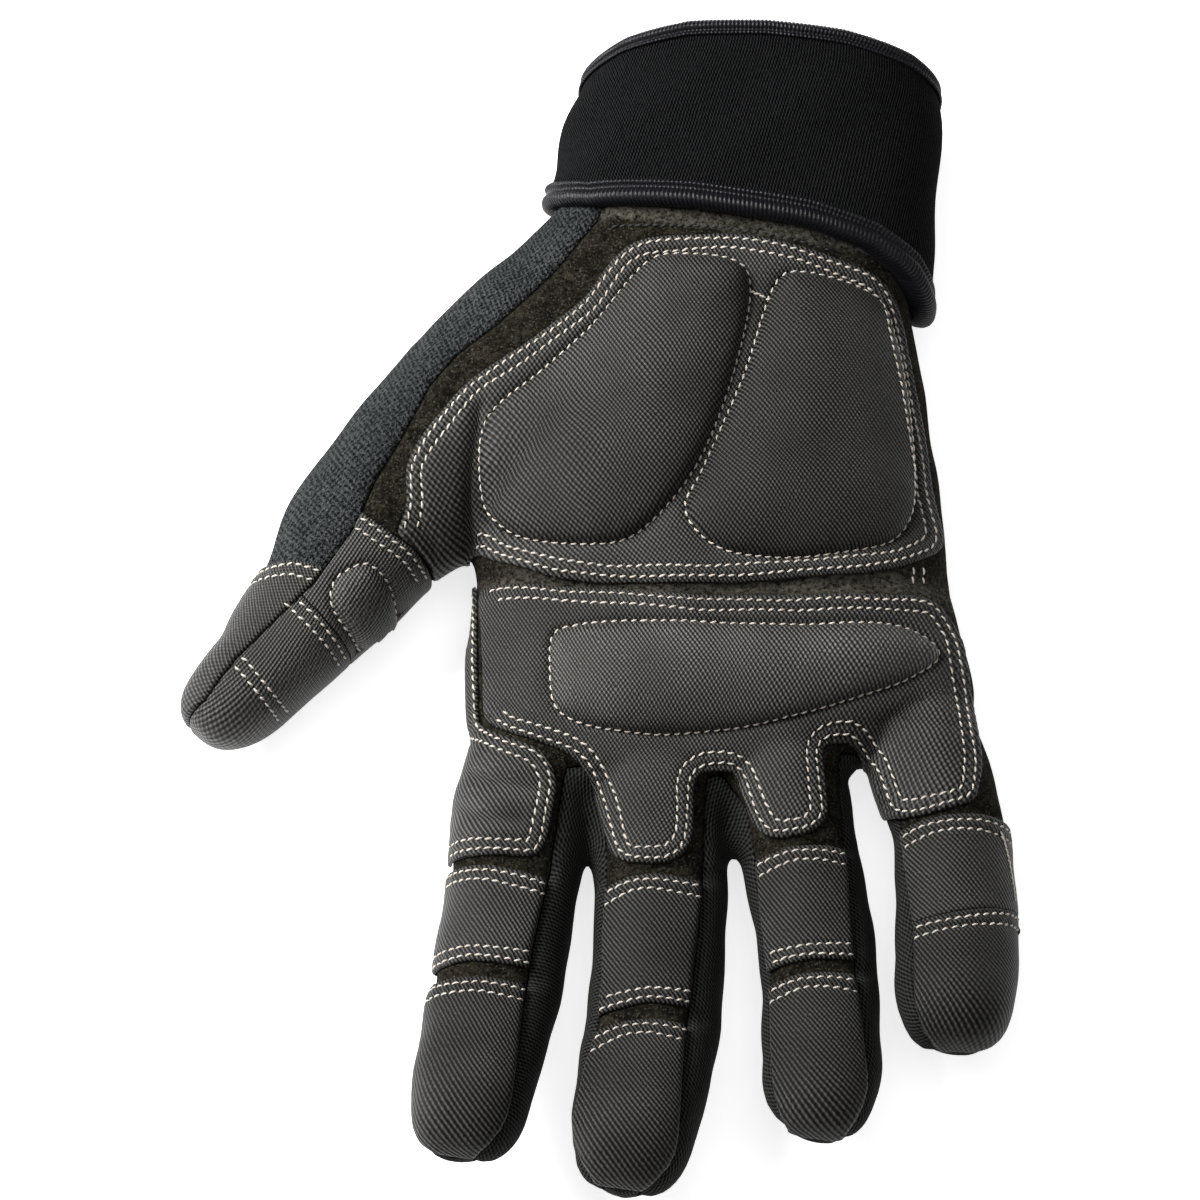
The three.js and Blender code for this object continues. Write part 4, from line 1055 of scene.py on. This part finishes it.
top_points.append(form_points)
top_faces += [[corner + count for corner in face] for face in form_faces]
glove_top = BVHTree.FromPolygons(np.vstack(top_points).tolist(), top_faces)
put_on(sew("crease_tacks", tacks, glove_top, 1.9), "thread", thread)
wrist_seam = spline([(-19, 65.9), (0, 65.6), (14, 63.9), (30, 60.6)], 10)
put_on(sew("wrist_seam_stitches", [wrist_seam], glove_top, 1.8), "thread", black_thread)
worn_edge = spline(FRAY, 12)
put_on(sew("worn_edge_fibres", [worn_edge], glove_top, 1.25), "thread", thread)
for name, place in LOOPS.items():
    bpy.ops.object.select_all(action="DESELECT")
    bpy.ops.mesh.primitive_torus_add(major_segments=20, minor_segments=6, major_radius=LOOP_RADIUS * MM,
                                     minor_radius=LOOP_THREAD * MM, generate_uvs=True)
    loop = bpy.context.object
    loop.name = loop.data.name = name
    loop.data.uv_layers[0].name = "cloth"
    with editing():
        bpy.ops.transform.translate(value=Vector(place) * MM)
    smooth_faces(loop)
    put_on(loop, "thread", black_thread)

# Cuff: a wide band of knit-faced neoprene that is sewn over the wrist end of the glove. It is
# slightly hollow between its rims, where it is pulled in round the wrist.
RIM_HIGH = [(-60, 96.8), (-22, 105.2), (-12, 109), (0, 110.8), (15, 110.6), (30, 108.8), (43, 105.8),
            (52, 101.8), (60, 97.8)]
BAND_IN = 1.8
BAND_OUT = 4.3
BAND_SIDES = 240
BAND_FLOOR = 1.95      # the band's back stays above the closure
BAND_FLAT = (0.205, 0.0535)      # metres round and along
WRIST_AT = 80
CUFF_LEFT = -28.6      # the cuff goes straight on where the hand begins to widen to the thumb


def round_wrist(y_at, past, out, sides):
    """A ring of points, evenly apart, round the wrist end of the hand, out from it by some distance."""
    across, up = section(sides * 4, HAND_POWER).T
    rows = hand_rows[::-1]

    def edges(y):
        left, right, bottom, top = (np.interp(y, rows[:, 0], rows[:, i]) for i in range(1, 5))
        left = np.maximum(left, CUFF_LEFT)
        return (left + right) / 2, (right - left) / 2, (bottom + top) / 2, (top - bottom) / 2

    y = np.full(sides * 4, float(WRIST_AT))
    for step in range(14):     # the rim's slant settles in a few rounds
        middle, wide, level, thick = edges(y)
        y = y_at(middle + across * wide, up)
    y = y + past
    middle, wide, level, thick = edges(y)
    x = middle + across * (wide + out)
    z = np.maximum(level + up * (thick + out), BAND_FLOOR)
    ring = np.stack([x, y, z], 1)
    ring = np.vstack([ring, ring[:1]])
    run = run_of(ring)
    return points_at(np.linspace(0, run[-1], sides, endpoint=False), run, ring)


def between_rims(share):
    high = np.array(RIM_HIGH).T
    return lambda x, up: (1 - share) * rim_low(x, up) + share * np.interp(x, *high)


def lay_round(piece, size):
    """Scales the grid's own flat places to real size, in metres round and along."""
    layer = piece.data.uv_layers[0]
    layer.name = "cloth"
    flat = np.zeros(len(piece.data.loops) * 2)
    layer.data.foreach_get("uv", flat)
    layer.data.foreach_set("uv", (flat.reshape(-1, 2) * size).ravel())


stations = [(share, BAND_OUT) for share in np.linspace(0, 1, 30)]
stations += [(share, BAND_IN) for share in np.linspace(1, 0, 12)]
rings = []
for share, out in stations:
    ring = round_wrist(between_rims(share), 0, out, BAND_SIDES)
    if out == BAND_OUT:
        turn = np.arange(BAND_SIDES) / BAND_SIDES * 2 * math.pi
        bow = math.sin(share * math.pi)
        swell = bow * (0.5 * np.sin(3 * turn + 1) * math.cos(share * 3) + 0.35 * np.sin(7 * turn + share * 9))
        swell -= bow * 0.2
        spread = ring - ring.mean(0)
        spread[:, 1] = 0
        spread /= np.linalg.norm(spread, axis=1)[:, None]
        ring = ring + spread * np.minimum(swell, 0.3)[:, None]
        ring[:, 2] = np.maximum(ring[:, 2], BAND_FLOOR)
    rings.append(ring)
cuff = roll_cloth("cuff_band", np.array(rings)[:, ::-1], closed_ends=False, closed_along=True)
lay_round(cuff, BAND_FLAT)
smooth_faces(cuff)
neoprene, tree, shader, flat, solid = new_material(
    "neoprene", {"Roughness": 0.95, "Specular IOR Level": 0.01})
face_knit = crossed_lines(tree, flat, 103, 0.63, 57, 0.53, 0.75, 0.2)
speck = noise(tree, solid, 2300.0, 3.0, 0.7)
face_knit = maths(tree, "MULTIPLY_ADD", speck, 1.1, face_knit)
colour = blend(tree, ranged(tree, face_knit, 0.85, 1.6), (0.0002, 0.0002, 0.0002, 1), (0.019, 0.0195, 0.0205, 1))
lint = noise(tree, solid, 520.0, 3.0, 0.6)
colour = blend(tree, ranged(tree, lint, 0.72, 0.8, 0.0, 0.3), colour, (0.05, 0.05, 0.05, 1))
finish_with(tree, shader, colour, face_knit, 0.00015)
put_on(cuff, "neoprene", neoprene, "cuff")

# Bindings: ribbed tape folded over both rims of the cuff and sewn down, with a corded line along
# the tape's inner edge. The lower one is the fatter, as it takes in the glove's own edge.
RIBS = 232
RIB_SIDES = RIBS * 4
RIB_HEIGHT = 0.3
TAPE_FLAT = (0.215, 0.022)       # metres round and along
LOWER_BINDING = [      # how far past the rim and how far out from the shell, and the ribs' share
    (-4.0, 4.4, 1), (-4.1, 4.75, 1), (-3.85, 5.1, 1), (-3.45, 5.12, 1), (-3.15, 4.8, 1), (-2.8, 4.5, 0.5),
    (-2.3, 4.45, 0.5), (-1.95, 4.8, 1), (-1.4, 5.25, 1), (-0.7, 5.45, 1), (0.1, 5.25, 1), (0.75, 4.7, 1),
    (1.1, 3.9, 1), (1.1, 2.9, 1), (0.8, 1.6, 1), (0.2, 0.5, 1), (-0.9, -1.1, 0.5), (-2.4, -2, 0.5),
    (-3.6, -1.4, 0.5), (-4.0, 0.4, 0.5), (-3.9, 1.75, 0), (0.2, 1.75, 0), (0.2, 4.35, 0),
]
TOP_BINDING = [
    (-2.6, 4.4, 1), (-2.7, 4.7, 1), (-2.5, 5.0, 1), (-2.2, 5.02, 1), (-1.95, 4.75, 1), (-1.7, 4.5, 0.5),
    (-1.45, 4.48, 0.5), (-1.2, 4.75, 1), (-0.85, 5.1, 1), (-0.4, 5.3, 1), (0.15, 5.15, 1), (0.75, 4.7, 1),
    (1.1, 3.9, 1), (1.1, 2.9, 1), (0.8, 1.9, 1), (0.2, 1.25, 1), (-0.6, 1.0, 0.5), (-1.5, 1.0, 0.5),
    (-2.3, 1.1, 0.5), (-2.6, 1.4, 0.5), (-2.5, 1.75, 0), (0.2, 1.75, 0), (0.2, 4.35, 0),
]

binding, tree, shader, flat, solid = new_material(
    "binding tape", {"Roughness": 0.38, "Specular IOR Level": 0.2, "Sheen Weight": 0.01,
                     "Sheen Tint": (0.6, 0.65, 0.9, 1)})
strands = noise(tree, solid, 2500.0, 2.0)
colour = blend(tree, strands, (0.0008, 0.0008, 0.001, 1), (0.006, 0.006, 0.009, 1))
finish_with(tree, shader, colour, strands, 0.0001)
rib = np.tile([0.0, 0.75, 1.0, 0.75], RIBS) - 0.5
for node_name, rim, way, table in (("cuff_binding_top", 1, 1, TOP_BINDING),
                                   ("cuff_binding_lower", 0, -1, LOWER_BINDING)):
    profile = np.array(table, float)
    forward = np.roll(profile[:, :2], -1, 0) - np.roll(profile[:, :2], 1, 0)
    forward /= np.linalg.norm(forward, axis=1)[:, None]
    rings = []
    for (past, out, share), (ahead, up) in zip(profile, forward):
        base = round_wrist(between_rims(rim), way * past, out, RIB_SIDES)
        push = round_wrist(between_rims(rim), way * (past - up), out + ahead, RIB_SIDES)
        rings.append(base + (push - base) * (rib * share * RIB_HEIGHT)[:, None])
    rings = np.array(rings)[:, ::way]
    tape = roll_cloth(node_name + "_tape", rings[:, ::-1], closed_ends=False, closed_along=True)
    lay_round(tape, TAPE_FLAT)
    smooth_faces(tape)
    put_on(tape, "binding", binding, node_name)

# Closure: a strip of brushed hook and loop tape under the back of the cuff, which the glove
# lies on. Nothing of it shows from the palm side, so it is finished plainly.
STRIP_SIZE = (58, 26, 1.55)
STRIP_PLACE = (7, 85, 0.79)
STRIP_CORNER = 6       # rounding of its free end's corners
STRIP_EDGE = 0.4
bpy.ops.object.select_all(action="DESELECT")
bpy.ops.mesh.primitive_cube_add(size=1)
strip = bpy.context.object
strip.name = strip.data.name = "closure_strip"
with editing():
    bpy.ops.transform.resize(value=[size * MM for size in STRIP_SIZE])
    bpy.ops.transform.translate(value=[place * MM for place in STRIP_PLACE])
    bpy.ops.mesh.select_mode(type="EDGE")
    bpy.ops.mesh.select_all(action="DESELECT")
for edge in strip.data.edges:
    ends = [strip.data.vertices[corner].co for corner in edge.vertices]
    edge.select = abs(ends[0].z - ends[1].z) > MM and ends[0].x < 0
bpy.ops.object.mode_set(mode="EDIT")
bpy.ops.mesh.select_mode(type="EDGE")
bpy.ops.mesh.bevel(offset=STRIP_CORNER * MM, segments=6)
bpy.ops.mesh.select_all(action="SELECT")
bpy.ops.mesh.bevel(offset=STRIP_EDGE * MM, segments=2)
bpy.ops.object.mode_set(mode="OBJECT")
bpy.ops.object.shade_smooth_by_angle(angle=math.radians(35))
strip.data.uv_layers[0].name = "cloth"
with editing():
    bpy.ops.uv.cube_project(cube_size=1)
put_on(strip, "knit", knit, "closure_tab")

# Studio: a plain pale floor, a soft key light from the thumb's side and a fill light from above,
# and the camera at the photo's angle.
LIGHTS = [             # name, place, size, power
    ("key light", (-0.52, 0.2, 0.5), 0.42, 14),
    ("fill light", (0.1, -0.2, 1.3), 1.0, 6),
]
LIT_PLACE = (-0.02, -0.02, 0.02)
CAMERA_PLACE = (-0.0213, -0.4103, 1.1086)
CAMERA_TILT = math.radians(20)
CAMERA_LENS = 162.2
bpy.ops.object.select_all(action="DESELECT")
bpy.ops.mesh.primitive_plane_add(size=6)
floor = bpy.context.object
floor.name = "floor"
with editing():
    bpy.ops.transform.translate(value=(0, 0, -0.5 * MM))
paper = {"Roughness": 0.9, "Base Color": (0.9, 0.9, 0.9, 1),
         "Emission Color": (1, 1, 1, 1), "Emission Strength": 0.72}
floor.data.materials.append(new_material("pale floor", paper)[0])
world = bpy.data.worlds.new("studio")
world.use_nodes = True
world.node_tree.nodes["Background"].inputs["Color"].default_value = (1, 1, 1, 1)
world.node_tree.nodes["Background"].inputs["Strength"].default_value = 0.12
bpy.context.scene.world = world
for name, place, size, power in LIGHTS:
    bpy.ops.object.light_add(type="AREA", location=place)
    light = bpy.context.object
    light.name = name
    light.data.size = size
    light.data.energy = power
    light.rotation_euler = (Vector(place) - Vector(LIT_PLACE)).to_track_quat("Z", "Y").to_euler()
bpy.ops.object.camera_add(location=CAMERA_PLACE, rotation=(CAMERA_TILT, 0, 0))
camera = bpy.context.object
camera.data.lens = CAMERA_LENS
camera.data.sensor_width = 36
camera.data.clip_start = 0.01
bpy.context.scene.camera = camera
bpy.context.scene.view_settings.view_transform = "Standard"
